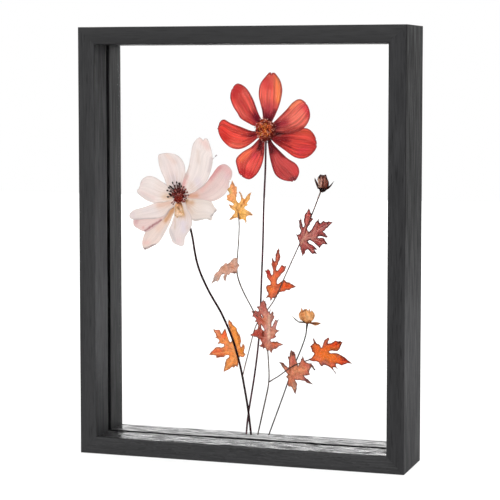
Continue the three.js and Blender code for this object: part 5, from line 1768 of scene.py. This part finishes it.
# Buds: domed pressed bodies with lapped petals, grown from their CAD sections
budShape = {
    "firstCut": 0.2,
    "cutStep": 0.42,
    "edgeReach": 0.75,
    "dome": (0.28, 0.78),  # height at the edge, and the rise to the middle
    "domeLimits": (0.25, 1.25),
    "domeMean": 0.65,
    "lap": (0.8, 0.2),
    "lapDrift": (0.25, 5),
    "crinkles": (0.05, 1.2),
    "width": (0.35, 0.65),  # at the foot, and what the middle adds
    "riseLimits": (0.02, 0.95),
    "thinDepth": 0.17,
    "thinWaves": (0.1, 4),
    "smoothAngle": 50,
}
budFinish = {
    "streaks": (4.2, 0.12, 2),
    "streakShade": (0.7, 1.2),
    "mottleSize": 900,
    "mottle": (0.85, 1.1),
    "roughness": (0.5, 0.75),
    "gloss": 0.05,
    "bump": 0.5,
    "relief": 0.15,
}
budSpecs = {
    "bud_dark": {
        "slot": "dark_bud", "axis": (52, 184, 53.4, 196.4), "half": 4, "laps": 2.6, "tone": (118, 70, 58),
        "rim": (46, 28, 26), "rimWidth": 0.5, "rimStrength": 0.7,
        "dabs": [
            (50.2, 193.4, 50.6, 187.6, 0.7, (190, 156, 138), 0.85),
            (51.4, 192, 51.2, 188.6, 0.5, (228, 188, 178), 0.85),
            (52.4, 191, 51.8, 189, 0.5, (206, 152, 134), 0.75),
            (52.9, 193, 53, 191.6, 0.7, (190, 138, 132), 0.75), (51.8, 193.6, 0.8, (100, 58, 54), 0.85),
            (54.6, 190.4, 55, 188, 1, (106, 48, 34), 0.85), (56.4, 190, 56.4, 188, 0.7, (66, 16, 10), 0.9),
            (53.4, 191.2, 0.6, (118, 66, 52), 0.75), (53.6, 190, 0.7, (162, 100, 84), 0.6),
            (51, 186.4, 55, 186.2, 1.3, (22, 8, 6), 0.96), (52, 184.8, 54, 185.4, 0.8, (18, 8, 8), 0.92),
            (52.6, 188.4, 0.8, (80, 32, 16), 0.85), (54, 187.8, 0.7, (76, 28, 16), 0.75),
            (50.6, 194.6, 51.6, 195.8, 0.7, (30, 22, 22), 0.92),
            (52, 195.6, 54.8, 195.6, 0.6, (92, 74, 72), 0.85),
            (55.2, 194.4, 55.8, 193, 0.6, (66, 40, 36), 0.85), (48, 191, 49.4, 187, 1, (34, 16, 12), 0.96),
            (47.1, 193.4, 0.8, (150, 146, 140), 0.75), (57, 187.2, 59.6, 190.4, 0.8, (42, 22, 20), 0.96),
            (60.5, 191.8, 0.6, (130, 120, 116), 0.7), (49.8, 195, 50.2, 188, 0.4, (226, 190, 166), 0.8),
            (50.9, 194.4, 51, 188.4, 0.35, (62, 28, 24), 0.8),
            (51.9, 194, 51.7, 188, 0.4, (214, 166, 146), 0.75),
            (53, 194.6, 52.9, 188, 0.35, (58, 24, 20), 0.8),
            (54.3, 194, 54.1, 189, 0.4, (176, 112, 94), 0.7),
        ],
    },
    "bud_tan": {
        "slot": "tan_bud", "axis": (42, 94.2, 41.6, 104.6), "half": 5.6, "laps": 2.2,
        "tone": (236, 166, 104), "rim": (176, 122, 84), "rimWidth": 0.6, "rimStrength": 0.6,
        "dabs": [
            # the first stroke is a painted highlight on the bud's belly
            (42.4, 99.6, 44, 98, 1.6, (250, 188, 136), 0.7),
            (37.4, 102, 39.6, 103, 0.8, (152, 84, 48), 0.85),
            (38, 100.2, 39.6, 100.8, 0.6, (176, 94, 50), 0.85),
            (38.8, 98.4, 40, 98.4, 0.9, (184, 108, 62), 0.8),
            (39.3, 97, 39.2, 96, 0.6, (156, 88, 48), 0.75), (36.6, 99.6, 1, (222, 178, 150), 0.6),
            (36.8, 97.6, 0.8, (166, 130, 108), 0.75), (38, 97, 0.7, (214, 168, 134), 0.5),
            (40.4, 103.8, 42, 103.6, 0.6, (146, 104, 78), 0.85), (43.4, 102.6, 0.6, (186, 122, 78), 0.75),
            (38, 104.6, 0.7, (196, 172, 164), 0.75), (43.5, 104.4, 0.5, (190, 170, 160), 0.75),
            (45.1, 103.2, 0.6, (206, 184, 166), 0.75), (45, 101.6, 1, (196, 132, 78), 0.75),
            (46.2, 98.4, 0.7, (182, 120, 70), 0.75), (47, 100.4, 0.8, (206, 158, 118), 0.6),
            (41.2, 94.4, 43.8, 95.2, 1.2, (74, 34, 12), 0.94), (44.4, 96.2, 0.8, (120, 62, 12), 0.88),
            (40, 95.4, 37, 95.3, 0.8, (44, 34, 26), 0.94), (36.4, 95.4, 33.6, 97, 1.1, (70, 66, 58), 0.94),
            (31.4, 99.4, 1, (170, 172, 168), 0.85), (45.4, 94.8, 50.6, 94.6, 0.9, (90, 46, 30), 0.96),
            (51.6, 95.2, 0.6, (160, 140, 130), 0.6), (37, 95.3, 33, 97.6, 1.2, (76, 72, 66), 0.9),
            (31.2, 99.6, 32.6, 98.2, 1.2, (150, 150, 146), 0.92),
        ],
    },
}


def budMaterial(name, spec):
    material, tree, shader = startMaterial(name)
    place = objectPlace(tree)
    flow = readAttribute(tree, "flow", "Vector")
    streaks = noiseValue(tree, stretchVector(tree, flow, budFinish["streaks"]), 1, 4, 0.6)
    mottle = noiseValue(tree, place, budFinish["mottleSize"], 4, 0.6)
    tint = shadeTone(tree, readPaint(tree), streaks, 0.4, 0.6, *budFinish["streakShade"])
    tint = shadeTone(tree, tint, mottle, 0.32, 0.68, *budFinish["mottle"])
    tint = darkRim(tree, tint, place, spec)
    roughness = mapValue(tree, mottle, 0.3, 0.7, *budFinish["roughness"])
    gloss, bump, relief = (budFinish[key] for key in ("gloss", "bump", "relief"))
    dressShader(tree, shader, tint, roughness, gloss, streaks, bump, relief)
    return material


def budPlaces(places, spec):
    # across the bud in half widths, and along it in mm
    axis = spec["axis"]
    root = np.array(axis[:2])
    forward = axisForward(axis)
    along = (places - root) @ forward
    rise = np.clip(along / math.dist(axis[:2], axis[2:]), *budShape["riseLimits"])
    foot, belly = budShape["width"]
    width = spec["half"] * (foot + belly * np.sin(rise * math.pi * 0.8))
    return (places - root) @ np.array((forward[1], -forward[0])) / width, along


def budDome(flat, across, gaps, spec, seed):
    # how far the body swells at each place, with a step at each lap
    edge = np.clip(gaps / (spec["half"] * budShape["edgeReach"]), 0, 1)
    foot, rise = budShape["dome"]
    dome = foot + rise * np.sqrt(1 - (1 - edge) ** 2)
    lapFoot, lapRise = budShape["lap"]
    dome *= lapFoot + lapRise * ((across * spec["laps"] + waves(flat, budShape["lapDrift"], seed)) % 1)
    dome += waves(flat, budShape["crinkles"], seed)
    return np.clip(dome, *budShape["domeLimits"]) / budShape["domeMean"]


def makeBud(node, spec, seed):
    rings = sectionRings(node)
    bud = copyNode(node, node + "_bloom")
    low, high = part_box(node)
    editMode(True)
    for direction in (Vector((1, 0, 0)), Vector((0, 0, 1))):
        offset = low.dot(direction) + budShape["firstCut"] * mm
        while offset < high.dot(direction):
            cutAcross(direction * offset, direction)
            offset += budShape["cutStep"] * mm
    mergeDoubles(sheetSpec["gridWeld"])
    editMode(False)
    places = meshPlaces(bud)
    flat = places[:, [0, 2]]
    across, along = budPlaces(flat, spec)
    gaps = rimGaps(flat, rings)
    body = np.abs(places[:, 1]) > budShape["thinDepth"]
    places[body, 1] *= budDome(flat, across, gaps, spec, seed)[body]
    places[~body, 1] += waves(flat[~body], budShape["thinWaves"], seed)
    movePlaces(bud, places)
    bpy.ops.object.shade_smooth_by_angle(angle=math.radians(budShape["smoothAngle"]))
    storeTones(bud, paintTones(flat, spec["tone"], spec["dabs"], seed))
    storeRim(bud, gaps)
    storeFlow(bud, across, along, seed)
    placePiece(bud, node, budMaterial(spec["slot"], spec))


for budNumber, (budNode, budSpec) in enumerate(budSpecs.items()):
    makeBud(budNode, budSpec, 60 + 7 * budNumber)
print("buds domed:", len(budSpecs))

bpy.context.view_layer.update()
